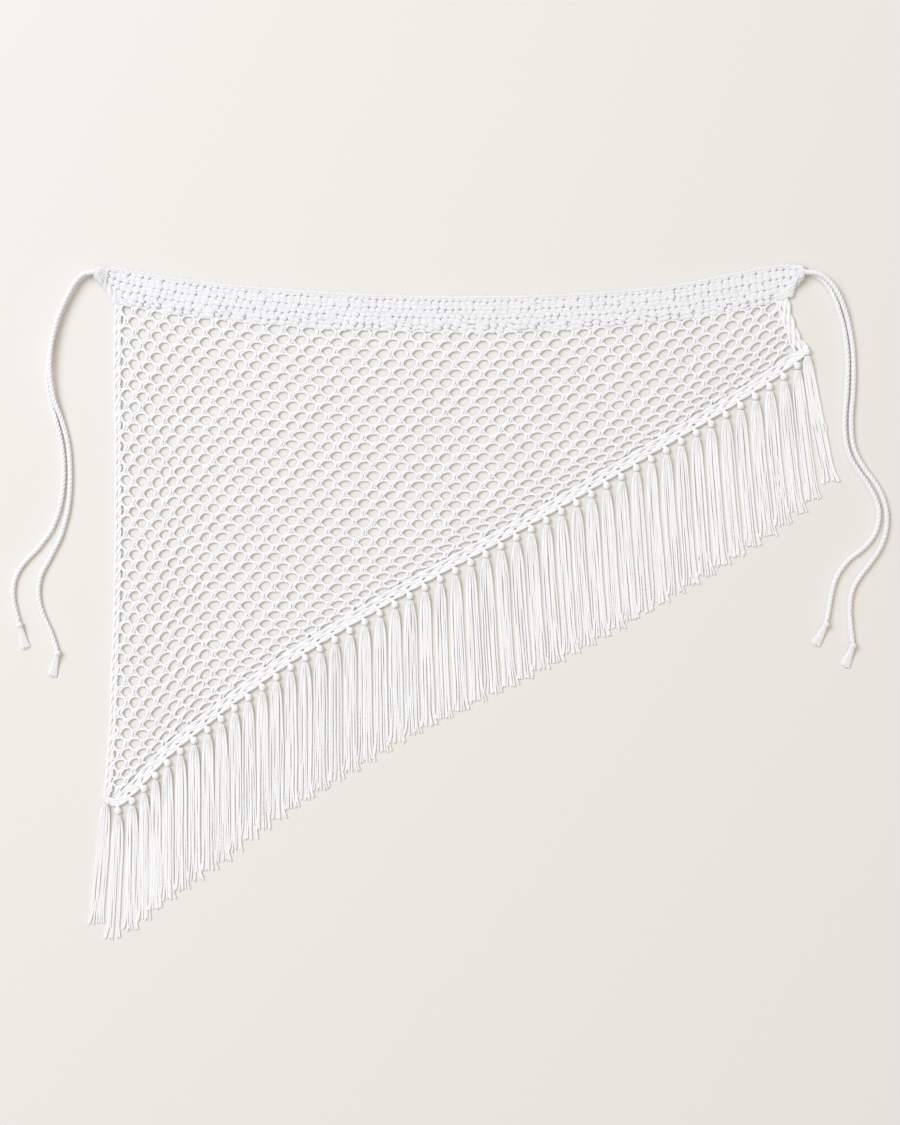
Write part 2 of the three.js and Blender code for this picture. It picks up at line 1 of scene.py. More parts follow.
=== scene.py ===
"""A crochet sarong lying flat, with its stitches, tassels and ties in the places of the CAD solids.

Tables are in millimetres, as the garment was measured, and everything made from them is in metres, +Z up.
"""

import math

import bmesh
import bpy
import numpy as np
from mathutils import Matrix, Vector


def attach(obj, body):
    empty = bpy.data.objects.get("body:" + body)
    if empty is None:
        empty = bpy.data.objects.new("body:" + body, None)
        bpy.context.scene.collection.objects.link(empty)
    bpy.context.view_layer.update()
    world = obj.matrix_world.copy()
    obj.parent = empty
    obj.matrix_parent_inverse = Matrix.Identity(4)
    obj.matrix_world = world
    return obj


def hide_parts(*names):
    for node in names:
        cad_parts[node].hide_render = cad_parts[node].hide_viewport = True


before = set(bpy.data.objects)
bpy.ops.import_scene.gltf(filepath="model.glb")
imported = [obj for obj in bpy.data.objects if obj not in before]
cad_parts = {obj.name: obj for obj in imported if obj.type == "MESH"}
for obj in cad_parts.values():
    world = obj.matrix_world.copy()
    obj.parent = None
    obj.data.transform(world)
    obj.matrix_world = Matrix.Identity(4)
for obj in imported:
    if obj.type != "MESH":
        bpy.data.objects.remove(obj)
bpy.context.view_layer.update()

MM = 0.001

# ---- Sizes of the garment ----
# The waistband from the left tip to the right one: its top edge, its foot, and how far it has gathered
# into a tip.
BAND_SECTIONS = [
    {"top": (-457, 415.8), "foot": (-456.6, 406.2), "wrap": 1},
    {"top": (-451, 416.4), "foot": (-452.4, 401), "wrap": 0.92},
    {"top": (-440, 416.8), "foot": (-445, 391.5), "wrap": 0.42},
    {"top": (-428, 416.6), "foot": (-438.8, 381), "wrap": 0.1},
    {"top": (-415, 415), "foot": (-434, 374.2), "wrap": 0},
    {"top": (-398, 412), "foot": (-412, 369), "wrap": 0},
    {"top": (-362, 405.8), "foot": (-366, 361), "wrap": 0},
    {"top": (-300, 397.6), "foot": (-300, 352.8), "wrap": 0},
    {"top": (-200, 389.2), "foot": (-200, 344.2), "wrap": 0},
    {"top": (-100, 383.8), "foot": (-100, 339.6), "wrap": 0},
    {"top": (0, 381.6), "foot": (0, 337.4), "wrap": 0},
    {"top": (100, 383.4), "foot": (100, 339.2), "wrap": 0},
    {"top": (200, 389.2), "foot": (200, 344.8), "wrap": 0},
    {"top": (273, 397.4), "foot": (272, 352.4), "wrap": 0},
    {"top": (316, 406), "foot": (313, 358.4), "wrap": 0},
    {"top": (358, 414.6), "foot": (352, 364.6), "wrap": 0},
    {"top": (388, 420), "foot": (380, 371.6), "wrap": 0},
    {"top": (404, 421.4), "foot": (398, 377.2), "wrap": 0.06},
    {"top": (415, 420.6), "foot": (409.4, 380.8), "wrap": 0.3},
    {"top": (423, 418.8), "foot": (417.6, 394), "wrap": 0.86},
    {"top": (427, 418), "foot": (425.4, 404.6), "wrap": 1},
]
BAND_ROWS_START = (0.03, 0.27, 0.51, 0.75)
STITCH_WIDTH = 8.6
BAND_WIDTH = 45
WRAP_HEIGHT = 12.6

# The edges of the net panel, from the waistband down, and its hem, from the left corner to the right one.
LEFT_EDGE = [
    (-433.2, 373), (-434, 300), (-433.2, 180), (-433, 90), (-434.6, 0), (-437.4, -85),
    (-440.4, -165), (-446.4, -235), (-447.4, -242),
]
RIGHT_EDGE = [
    {"out": (408.6, 380), "inner": (395, 376)},
    {"out": (411.2, 362.5), "inner": (397, 364)},
    {"out": (415, 350.5), "inner": (400.6, 352.5)},
    {"out": (419.6, 338.8), "inner": (405, 341)},
    {"out": (425.2, 328), "inner": (410, 328)},
    {"out": (429.2, 324.8), "inner": (413.4, 316.6)},
]
# Where the ropes of the right edging end, inside the hem edging.
RIGHT_EDGE_END = {"out": (431, 318.5), "inner": (418, 306)}
HEM_SECTIONS = [
    {"out": (-447.4, -242), "inner": (-447, -235.4)},
    {"out": (-441.5, -249.8), "inner": (-438.4, -236.6)},
    {"out": (-428.5, -255.2), "inner": (-430.4, -239.8)},
    {"out": (-410.4, -242.6), "inner": (-420.6, -231)},
    {"out": (-395, -226.4), "inner": (-406.4, -215.2)},
    {"out": (-368, -196.4), "inner": (-379.2, -185)},
    {"out": (-314.6, -152.6), "inner": (-324.6, -140.2)},
    {"out": (-223, -83.2), "inner": (-232.2, -70.2)},
    {"out": (-73.6, 7.4), "inner": (-81.6, 21.2)},
    {"out": (74, 88.6), "inner": (66.4, 102.6)},
    {"out": (239.4, 184.8), "inner": (231.2, 198.6)},
    {"out": (335, 241.6), "inner": (326.6, 255.2)},
    {"out": (390, 277.4), "inner": (381, 290.6)},
    {"out": (422, 302.4), "inner": (411, 314)},
    {"out": (429.4, 312.2), "inner": (420.6, 320.4)},
    {"out": (432.6, 320.2), "inner": (430, 324)},
]

# How far apart the meshes of the net stand across and down, from the left edging to the right one.
NET_PITCH = [
    {"x": -440, "across": 18.4, "down": 13.3},
    {"x": -385, "across": 19, "down": 13.1},
    {"x": -320, "across": 21, "down": 12.2},
    {"x": -240, "across": 22, "down": 11.9},
    {"x": -150, "across": 22.7, "down": 11.8},
    {"x": 0, "across": 22.8, "down": 11.7},
    {"x": 130, "across": 22.7, "down": 11.5},
    {"x": 250, "across": 21.8, "down": 11.6},
    {"x": 350, "across": 20.6, "down": 11.2},
    {"x": 430, "across": 20, "down": 11},
]
COLUMNS_FROM = -436.5
COLUMNS_TO = 430.5
FIRST_MESH_BELOW_BAND = 6
LOOP_REACH = (0.403, 0.592)
LOOP_SQUARENESS = 2.15
STRAIGHT_SIDE = 0.62
KNOT_HALF = (1.4, 4.7)
# The net in three parts: the rows of holes in each, and its flat size in metres.
NET_PARTS = {
    "crochet_net_upper": {"rows": range(1, 10), "flat": (0.85, 0.15)},
    "crochet_net_middle": {"rows": range(10, 20), "flat": (0.77, 0.18)},
    "crochet_net_lower": {"rows": range(20, 50), "flat": (0.5, 0.35)},
}

TASSELS = 50
FIRST_TASSEL_AT = 5.6
SECOND_TASSEL_AT = 24
LAST_TASSEL_BEFORE_END = 2.6
KNOT_RADIUS = 4.9
KNOT_BELOW_HEM = 5
WIDEST_TASSEL_HALF = 9.2
TASSEL_HANG = [
    {"at": 0, "drop": 147, "lean": -13},
    {"at": 0.02, "drop": 160, "lean": -8},
    {"at": 0.05, "drop": 161, "lean": -1},
    {"at": 0.11, "drop": 172, "lean": 0},
    {"at": 0.2, "drop": 178, "lean": 1},
    {"at": 0.33, "drop": 176, "lean": 0},
    {"at": 0.45, "drop": 172, "lean": 3},
    {"at": 0.58, "drop": 175, "lean": 11},
    {"at": 0.72, "drop": 179, "lean": 12},
    {"at": 0.84, "drop": 178, "lean": 12},
    {"at": 0.93, "drop": 173, "lean": 16},
    {"at": 0.985, "drop": 166, "lean": 19},
    {"at": 1, "drop": 162, "lean": 32},
]

END_KNOT_RADIUS = 4.6
LOW = 3.3
HIGH = 10.1
# The ties from the tips of the waistband to their knots, and how high the first points of each are. The rest
# of each tie lies low.
TIES = [
    {
        "name": "left_upper", "knot": (-504.2, -63.6), "brush": (-511.6, -92),
        "heights": (*[HIGH] * 8, 9.7, 9.2, 8.4, 7.5, 6.3, 4.3, 3.4),
        "route": [
            (-457.1, 411.4), (-463.1, 411.1), (-471, 409), (-480.5, 400), (-489.5, 385),
            (-500, 362.5), (-507, 341), (-511, 321), (-513, 301), (-513, 284), (-511, 267.5),
            (-508, 252.5), (-503.5, 240), (-499, 227.5), (-495, 214), (-491.5, 199.5),
            (-489.5, 182.5), (-488.5, 157.5), (-489.5, 132.5), (-492.5, 111), (-496.5, 95.5),
            (-501.5, 80), (-509, 65), (-516, 51.5), (-522.5, 40), (-527, 27.5), (-528.5, 12.5),
            (-527, -1), (-522.5, -16), (-513.5, -36), (-506.4, -56),
        ],
    },
    {
        "name": "left_lower", "knot": (-551.6, -28.4), "brush": (-545, -57),
        "heights": (),
        "route": [
            (-457.1, 411.4), (-463.1, 411.1), (-470.5, 407), (-479, 398.5), (-488, 384),
            (-499, 362), (-506.5, 341), (-512.5, 321), (-516, 301), (-517.5, 284), (-516.5, 267.5),
            (-513.5, 252.5), (-510, 239), (-506, 225), (-502, 210), (-499, 194), (-497, 175),
            (-497, 152.5), (-499, 132.5), (-502.5, 115.5), (-507, 102.5), (-513, 89), (-521, 77.5),
            (-531, 65), (-541, 55), (-549, 45.5), (-555, 35.5), (-559, 24), (-560, 7.5),
            (-557.4, -8), (-554.2, -20.4),
        ],
    },
    {
        "name": "right_inner", "knot": (455.4, -27.6), "brush": (442.4, -53),
        "heights": (),
        "route": [
            (426.6, 412), (432.6, 411.3), (441.5, 408.5), (450, 402.5), (458.5, 393), (466.5, 378),
            (472, 362), (477, 344), (480, 326), (482, 306), (482, 284), (481, 261), (479, 239),
            (478.5, 216), (481, 195), (487, 177.5), (497.5, 161), (507.5, 147), (515.5, 132.5),
            (520.5, 119), (521.5, 107.5), (519.5, 94.5), (513, 80), (500.5, 66), (485, 54),
            (473.5, 40), (466, 25.5), (462, 9.5), (459.4, -5), (457, -19.4),
        ],
    },
    {
        "name": "right_outer", "knot": (489, -54.2), "brush": (479.4, -80),
        "heights": (*[HIGH] * 2, 9.7, 8.8, 7.9, 6.4, 4.3),
        "route": [
            (426.6, 412), (432.6, 411.3), (443, 410), (454, 404.5), (464.5, 394), (473.5, 378),
            (480.5, 360), (485, 341), (488, 324), (489.5, 306), (490, 284), (489, 257.5),
            (487, 235), (487, 215), (489, 197.5), (495.5, 180), (505.5, 164), (517, 148.5),
            (525.5, 132.5), (530, 117.5), (531.5, 104), (529.5, 86), (522.5, 67), (509.5, 47.5),
            (496.5, 30.5), (488, 14), (485, -5), (485.5, -22.5), (488, -46),
        ],
    },
]


# ---- Lines ----
def smooth_line(points, step):
    """Points at even steps along a centripetal Catmull-Rom curve through the given ones."""
    points = np.array(points, float)
    before = 2 * points[0] - points[1]
    after = 2 * points[-1] - points[-2]
    padded = np.vstack([before, points, after])
    fine = []
    t = np.linspace(0, 1, 24, endpoint=False)[:, None]
    for a, b, c, d in zip(padded, padded[1:], padded[2:], padded[3:]):
        ab, bc, cd = (math.sqrt(max(np.linalg.norm(q - p), 1e-6)) for p, q in ((a, b), (b, c), (c, d)))
        start = ((b - a) / ab - (c - a) / (ab + bc) + (c - b) / bc) * bc
        end = ((c - b) / bc - (d - b) / (bc + cd) + (d - c) / cd) * bc
        fine.append(
            (2 * t**3 - 3 * t**2 + 1) * b + (t**3 - 2 * t**2 + t) * start
            + (3 * t**2 - 2 * t**3) * c + (t**3 - t**2) * end
        )
    fine.append(points[-1:])
    return even_line(np.vstack(fine), step)


def even_line(points, step):
    """The same line with its points at even steps."""
    points = np.asarray(points, float)
    runs = runs_along(points)
    stations = np.linspace(0, runs[-1], max(2, int(math.ceil(runs[-1] / step)) + 1))
    return np.column_stack([np.interp(stations, runs, points[:, k]) for k in range(points.shape[1])])


def runs_along(points):
    """How far along a line each of its points is."""
    return np.concatenate([[0], np.cumsum(np.linalg.norm(np.diff(points, axis=0), axis=1))])


def line_length(points):
    """How long a line is."""
    return float(np.linalg.norm(np.diff(np.asarray(points), axis=0), axis=1).sum())


def shifted_line(points, distance):
    """A flat line moved to its left by a distance, which may be one number or one for each point."""
    along = np.gradient(points, axis=0)
    along /= np.linalg.norm(along, axis=1)[:, None]
    left = np.column_stack([-along[:, 1], along[:, 0]])
    return points + left * np.reshape(distance, (-1, 1))


def at_height(points, height):
    """Flat points lifted to a height, or to one for each point."""
    return np.column_stack([points[:, 0], points[:, 1], np.broadcast_to(height, len(points))])


# ---- Node trees ----
class Value:
    """A socket that a number comes out of. Python's operators on it add Math nodes to its tree."""

    def __init__(self, tree, socket):
        self.tree = tree
        self.socket = socket

    def math(self, operation, *values):
        return self.tree.add("ShaderNodeMath", {"operation": operation}, dict(enumerate(values)))

    def __add__(self, other):
        return self.math("ADD", self, other)

    def __radd__(self, other):
        return self.math("ADD", other, self)

    def __sub__(self, other):
        return self.math("SUBTRACT", self, other)

    def __rsub__(self, other):
        return self.math("SUBTRACT", other, self)

    def __mul__(self, other):
        return self.math("MULTIPLY", self, other)

    def __rmul__(self, other):
        return self.math("MULTIPLY", other, self)

    def __truediv__(self, other):
        return self.math("DIVIDE", self, other)

    def __pow__(self, other):
        return self.math("POWER", self, other)

    def __mod__(self, other):
        return self.math("MODULO", self, other)

    def __neg__(self):
        return self.math("MULTIPLY", self, -1)

    def sine(self):
        return self.math("SINE", self)

    def exponential(self):
        return self.math("EXPONENT", self)

    def limited(self):
        return self.math("MINIMUM", self.math("MAXIMUM", self, 0), 1)


class Tree:
    """Adds nodes to a node tree: a type, its settings, and the values or links of its sockets."""

    def __init__(self, tree):
        self.tree = tree

    def add(self, kind, settings=None, sockets=None, output=0):
        node = self.tree.nodes.new(kind)
        for name, value in (settings or {}).items():
            setattr(node, name, value)
        shown = [s for s in node.inputs if s.enabled]
        for name, value in (sockets or {}).items():
            socket = shown[name] if isinstance(name, int) else next(s for s in shown if s.name == name)
            for one in value if isinstance(value, list) else [value]:
                if isinstance(one, Value):
                    self.tree.links.new(one.socket, socket)
                else:
                    socket.default_value = one
        found = [s for s in node.outputs if s.enabled]
        if isinstance(output, tuple):
            return [Value(self, next(s for s in found if s.name == name)) for name in output]
        chosen = found[output] if isinstance(output, int) else next(s for s in found if s.name == output)
        return Value(self, chosen)

    def vector(self, x=0.0, y=0.0, z=0.0):
        return self.add("ShaderNodeCombineXYZ", None, {"X": x, "Y": y, "Z": z})

    def vectors(self, operation, *values):
        return self.add("ShaderNodeVectorMath", {"operation": operation}, dict(enumerate(values)))

    def scaled(self, vector, factor):
        return self.add("ShaderNodeVectorMath", {"operation": "SCALE"}, {"Vector": vector, "Scale": factor})

    def parts(self, vector):
        return self.add("ShaderNodeSeparateXYZ", None, {0: vector}, ("X", "Y", "Z"))

    def noise(self, place, scale, detail, output="Fac", **fourth):
        """Noise at a place, with a fourth coordinate where W is given."""
        return self.add(
            "ShaderNodeTexNoise", {"noise_dimensions": "4D" if fourth else "3D"},
            {"Vector": place, "Scale": scale, "Detail": detail, **fourth}, output,
        )


class YarnTree(Tree):
    """A Geometry Nodes tree with named inputs, whose first input is the geometry it works on."""

    KINDS = {int: "NodeSocketInt", float: "NodeSocketFloat"}

    def __init__(self, name, **sizes):
        super().__init__(bpy.data.node_groups.new(name, "GeometryNodeTree"))
        face = self.tree.interface
        face.new_socket("Geometry", in_out="INPUT", socket_type="NodeSocketGeometry")
        for title, value in sizes.items():
            made = face.new_socket(title, in_out="INPUT", socket_type=self.KINDS[type(value)])
            made.default_value = value
        face.new_socket("Material", in_out="INPUT", socket_type="NodeSocketMaterial")
        face.new_socket("Geometry", in_out="OUTPUT", socket_type="NodeSocketGeometry")
        self.given = self.tree.nodes.new("NodeGroupInput")

    def input(self, title):
        """What one of the tree's own inputs is set to."""
        return Value(self, self.given.outputs[title])

    def attribute(self, title):
        """A number that each point of a path carries."""
        settings = {"data_type": "FLOAT"}
        return self.add("GeometryNodeInputNamedAttribute", settings, {"Name": title}, "Attribute")

    def keep(self, geometry, title, value, kind="FLOAT"):
        """The geometry with a value stored on its points."""
        return self.add(
            "GeometryNodeStoreNamedAttribute",
            {"data_type": kind, "domain": "POINT"},
            {"Geometry": geometry, "Name": title, "Value": value},
        )

    def curves(self, mode, title, value):
        """The paths as curves with even points, whose length apart or whose count is given."""
        curve = self.add("GeometryNodeMeshToCurve", None, {0: self.input("Geometry")})
        return self.add("GeometryNodeResampleCurve", {"mode": mode}, {"Curve": curve, title: value})

    def copies(self, curve):
        """Each curve once for every strand, and the number of the strand."""
        return self.add(
            "GeometryNodeDuplicateElements", {"domain": "SPLINE"},
            {0: curve, "Amount": self.input("Strands")}, ("Geometry", "Duplicate Index"),
        )

    def chances(self, count, **sockets):
        """Random numbers from -1 to 1, from seeds that follow each other."""
        span = {"Min": -1.0, "Max": 1.0, **sockets}
        return [
            self.add(
                "FunctionNodeRandomValue", {"data_type": "FLOAT"}, {**span, "Seed": self.input("Seed") + k}
            )
            for k in range(count)
        ]

    def swept(self, curve, radius, sides):
        """Round yarn along each curve, with its place along and round the yarn kept for its material."""
        along = self.add("GeometryNodeSplineParameter", None, None, "Length")
        curve = self.keep(curve, "along", along)
        ring = self.add("GeometryNodeCurvePrimitiveCircle", None, {"Resolution": sides, "Radius": 1.0})
        place = self.add("GeometryNodeInputPosition")
        ring = self.keep(ring, "round", place, "FLOAT_VECTOR")
        return self.add(
            "GeometryNodeCurveToMesh",
            None,
            {"Curve": curve, "Profile Curve": ring, "Scale": radius, "Fill Caps": True},
        )

    def finish(self, mesh):
        """Ends the tree with its mesh made real, faceted and in its material."""
        whole = self.add("GeometryNodeRealizeInstances", None, {"Geometry": mesh})
        faceted = self.add("GeometryNodeSetShadeSmooth", None, {"Geometry": whole, "Shade Smooth": False})
        dressed = self.add(
            "GeometryNodeSetMaterial", None, {"Geometry": faceted, "Material": self.input("Material")}
        )
        out = self.tree.nodes.new("NodeGroupOutput")
        self.tree.links.new(dressed.socket, out.inputs[0])
        return self.tree


def plaited_yarn():
    """Strands of yarn that plait or twist round each other along every path."""
    tree = YarnTree(
        "Plaited yarn",
        **{
            "Strands": 3, "Yarn Radius": 0.0011, "Side Reach": 0.0012, "Height Reach": 0.0006,
            "Turn Rate": 80.0, "Crossings": 2, "Sides": 5, "Ring Step": 0.0024, "Unevenness": 0.0004,
        },
    )
    strands = tree.input("Strands")
    curve, strand = tree.copies(tree.curves("LENGTH", "Length", tree.input("Ring Step")))
    run = tree.add("GeometryNodeSplineParameter", None, None, "Length")
    turn = (run * tree.input("Turn Rate") + strand / strands + tree.attribute("turned")) * (2 * math.pi)
    crossings = tree.input("Crossings")
    width = tree.attribute("width")
    side = turn.sine() * tree.input("Side Reach") * width
    rise = (turn * crossings + (2 - crossings) * (math.pi / 2)).sine() * tree.input("Height Reach") * width
    tangent = tree.add("GeometryNodeInputTangent")
    across = tree.vectors("NORMALIZE", tree.vectors("CROSS_PRODUCT", tangent, (0, 0, 1)))
    place = tree.add("GeometryNodeInputPosition")
    wander = tree.noise(place, 85.0, 1.0, "Color", W=strand * 3.7)
    wander = tree.vectors("SUBTRACT", wander, (0.5, 0.5, 0.5))
    wander = tree.scaled(wander, tree.input("Unevenness") * 2)
    moved = tree.vectors("ADD", tree.scaled(across, side), tree.vector(0.0, 0.0, rise))
    moved = tree.vectors("ADD", moved, wander)
    curve = tree.add("GeometryNodeSetPosition", None, {"Geometry": curve, "Offset": moved})
    return tree.finish(tree.swept(curve, tree.input("Yarn Radius") * width, tree.input("Sides")))


def stitched_rows():
    """Rows of close single crochet: rounded stitches with a waist, so that a pinhole opens beside each."""
    tree = YarnTree(
        "Stitched rows",
        **{
            "Stitch Width": STITCH_WIDTH * MM, "Stitch Height": 0.0108, "Rise": 0.0017, "Overlap": 1.13,
            "Squareness": 0.86, "Around": 12, "Rings": 7, "Lean": 0.12, "Unevenness": 0.07, "Seed": 3,
        },
    )
    width, height, rise = (tree.input(k) for k in ("Stitch Width", "Stitch Height", "Rise"))
    ball = tree.add(
        "GeometryNodeMeshUVSphere", None,
        {"Segments": tree.input("Around"), "Rings": tree.input("Rings"), "Radius": 1.0}, "Mesh",
    )
    place = tree.add("GeometryNodeInputPosition")
    x, y, z = tree.parts(place)
    squareness = tree.input("Squareness")
    overlap = tree.input("Overlap")
    square = [v.math("SIGN", v) * v.math("ABSOLUTE", v) ** squareness for v in (x, y)]
    level = z.math("SIGN", z) * z.math("ABSOLUTE", z) ** 0.65
    shaped = tree.vector(
        square[0] * width * overlap * 0.5, square[1] * height * overlap * 0.26, level * rise
    )
    ball = tree.keep(ball, "along", y * height)
    ball = tree.keep(ball, "round", tree.vector(x, z, 0.0), "FLOAT_VECTOR")
    puff = tree.add("GeometryNodeSetPosition", None, {"Geometry": ball, "Position": shaped})
    puffs = [
        tree.add(
            "GeometryNodeTransform", None,
            {"Geometry": puff, "Translation": tree.vector(width * (0.05 * up), height * (0.25 * up), 0.0)},
        )
        for up in (-1, 1)
    ]
    stitch = tree.add("GeometryNodeJoinGeometry", None, {0: puffs})
    curve = tree.curves("LENGTH", "Length", width)
    x, y, _ = tree.parts(tree.add("GeometryNodeInputTangent"))
    forward = x.math("SIGN", x)
    chance = tree.chances(5)
    uneven = tree.input("Unevenness")
    lean = tree.input("Lean") + chance[0] * uneven * 2
    heading = tree.vector(x * forward + y * forward * lean, y * forward - x * forward * lean, 0.0)
    turned = tree.add(
        "FunctionNodeAxesToRotation", {"primary_axis": "X", "secondary_axis": "Z"},
        {"Primary Axis": heading, "Secondary Axis": (0, 0, 1)},
    )
    local = tree.attribute("width")
    scale = tree.vector(
        chance[1] * uneven + 1, (chance[2] * uneven + 1) * local, chance[3] * uneven * 2 + 1
    )
    nudge = tree.vector(chance[4] * uneven * width, chance[3] * uneven * height, 0.0)
    curve = tree.add("GeometryNodeSetPosition", None, {"Geometry": curve, "Offset": nudge})
    placed = tree.add(
        "GeometryNodeInstanceOnPoints", None,
        {"Points": curve, "Instance": stitch, "Rotation": turned, "Scale": scale},
    )
    return tree.finish(placed)


def tassel_strands():
    """Loose strands in two layers, which open from the root of each tassel and part at its tip."""
    tree = YarnTree(
        "Tassel strands",
        **{
            "Strands": 8, "Rings": 24, "Yarn Radius": 0.00114, "Neck": 0.26, "Shoulder": 0.07,
            "Layer": 0.0016, "Waviness": 0.0013, "Uneven Tips": 0.002, "Tip Slope": 0.16, "Sides": 6,
            "Seed": 11,
        },
    )
    strands = tree.input("Strands")
    curve, strand = tree.copies(tree.curves("COUNT", "Count", tree.input("Rings")))
    chance = tree.chances(4, ID=tree.attribute("number") * 97 + strand)
    down = tree.attribute("share")
    layer = strand % 2
    side = (strand + 0.5) / strands * 2 - 1 + chance[0] * 0.06
    opened = 1 - (down / -tree.input("Shoulder")).exponential()
    neck = tree.input("Neck")
    splay = ((down - 0.87) / 0.13).limited()
    spread = neck + (0.86 - neck) * opened + down * (0.1 + chance[1] * 0.1) + splay * splay * 0.36
    round_off = (1 - side * side).limited() ** 0.5
    gathered = (down / -0.12).exponential()
    rise = tree.input("Layer") * ((layer + round_off) * gathered + layer * 0.2 + chance[2] * 0.15)
    place = tree.add("GeometryNodeInputPosition")
    apart = tree.attribute("number") * 7.7 + strand * 0.25
    waves = [tree.noise(place, scale, 1.0, W=apart) - 0.5 for scale in (13.0, 42.0)]
    wave = (waves[0] * 3 + waves[1]) * tree.input("Waviness") * (down * 4).limited()
    half = tree.attribute("half")
    fall = chance[3] * tree.input("Uneven Tips") + side * half * tree.input("Tip Slope")
    curl = splay * splay * chance[2] * tree.input("Waviness")
    moved = tree.vector(side * half * spread + wave + curl, down * fall, rise)
    curve = tree.add("GeometryNodeSetPosition", None, {"Geometry": curve, "Offset": moved})
    opened_end = ((down - 0.95) * 4).limited() + 1
    return tree.finish(tree.swept(curve, tree.input("Yarn Radius") * opened_end, tree.input("Sides")))


# ---- Meshes ----
def new_object(name, data):
    """An object of the scene, at the origin."""
    made = bpy.data.objects.new(name, data)
    bpy.context.scene.collection.objects.link(made)
    return made


def worked_paths(name, paths, attributes=None):
    """A mesh in metres whose edges are the paths, given in millimetres, that a tree turns into yarn."""
    points = np.vstack(paths) * MM
    counts = [len(p) for p in paths]
    firsts = np.concatenate([[0], np.cumsum(counts)[:-1]])
    edges = np.concatenate([np.arange(f, f + n - 1) for f, n in zip(firsts, counts)])
    mesh = bpy.data.meshes.new(name)
    mesh.vertices.add(len(points))
    mesh.vertices.foreach_set("co", points.astype(np.float32).ravel())
    mesh.edges.add(len(edges))
    mesh.edges.foreach_set("vertices", np.column_stack([edges, edges + 1]).astype(np.int32).ravel())
    kept = {
        "share": np.concatenate([np.linspace(0, 1, n) for n in counts]),
        "turned": np.repeat(np.modf(np.arange(len(paths)) * 0.618)[0], counts),
        "width": np.ones(len(points)),
    }
    for title, values in (attributes or {}).items():
        values = [np.broadcast_to(v, n) for v, n in zip(values, counts)]
        kept[title] = np.concatenate(values)
    for title, values in kept.items():
        mesh.attributes.new(title, "FLOAT", "POINT").data.foreach_set("value", values.astype(np.float32))
    mesh.update()
    return mesh


def grown(name, tree, mesh, material, **sizes):
    """The plain mesh that a tree makes from worked paths. Its sizes are in metres, as its inputs are."""
    source = new_object(name + "_paths", mesh)
    modifier = source.modifiers.new("Yarn", "NODES")
    modifier.node_group = tree
    for item in tree.interface.items_tree:
        if item.in_out == "INPUT" and item.name == "Material":
            modifier[item.identifier] = material
        elif item.in_out == "INPUT" and item.name.replace(" ", "_").lower() in sizes:
            modifier[item.identifier] = sizes[item.name.replace(" ", "_").lower()]
    evaluated = source.evaluated_get(bpy.context.evaluated_depsgraph_get())
    made = bpy.data.meshes.new_from_object(evaluated)
    made.name = name
    bpy.data.objects.remove(source)
    for title in ("share", "turned", "width", "number", "half"):
        if title in made.attributes:
            made.attributes.remove(made.attributes[title])
    made.materials.clear()
    made.materials.append(material)
    made.polygons.foreach_set("material_index", np.zeros(len(made.polygons), np.int32))
    return made


def rope(name, paths, material, yarn, sides, step, uneven, strands=1, side=0, rise=0, turn=None, crossings=1,
         attributes=None):
    """Yarn along the paths, or strands that wind round each other, with their sizes in millimetres.

    The strands go once round in the length of a turn. Without one, they turn as the paths' attributes say.
    """
    return grown(
        name, plait, worked_paths(name, paths, attributes), material, strands=strands, side_reach=side * MM,
        height_reach=rise * MM, turn_rate=1 / (turn * MM) if turn else 0.0, crossings=crossings,
        yarn_radius=yarn * MM, sides=sides, ring_step=step * MM, unevenness=uneven * MM,
    )


def piece(name, meshes):
    """One object from several meshes, in place, riding on the one body."""
    work = bmesh.new()
    for mesh in meshes:
        work.from_mesh(mesh)
    whole = bpy.data.meshes.new(name)
    work.to_mesh(whole)
    work.free()
    whole.materials.append(meshes[0].materials[0])
    for mesh in meshes:
        bpy.data.meshes.remove(mesh)
    made = new_object(name, whole)
    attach(made, "root")
    return made


# ---- Materials ----
def new_material(name):
    """A material with the plain shader, and a tree to add nodes to."""
    material = bpy.data.materials.new(name)
    material.use_nodes = True
    return material, Tree(material.node_tree)


def set_inputs(node, values):
    """Links each input of a node that has a socket for its value, and sets the others to their numbers."""
    for title, value in values.items():
        if isinstance(value, Value):
            node.id_data.links.new(value.socket, node.inputs[title])
        else:
            node.inputs[title].default_value = value


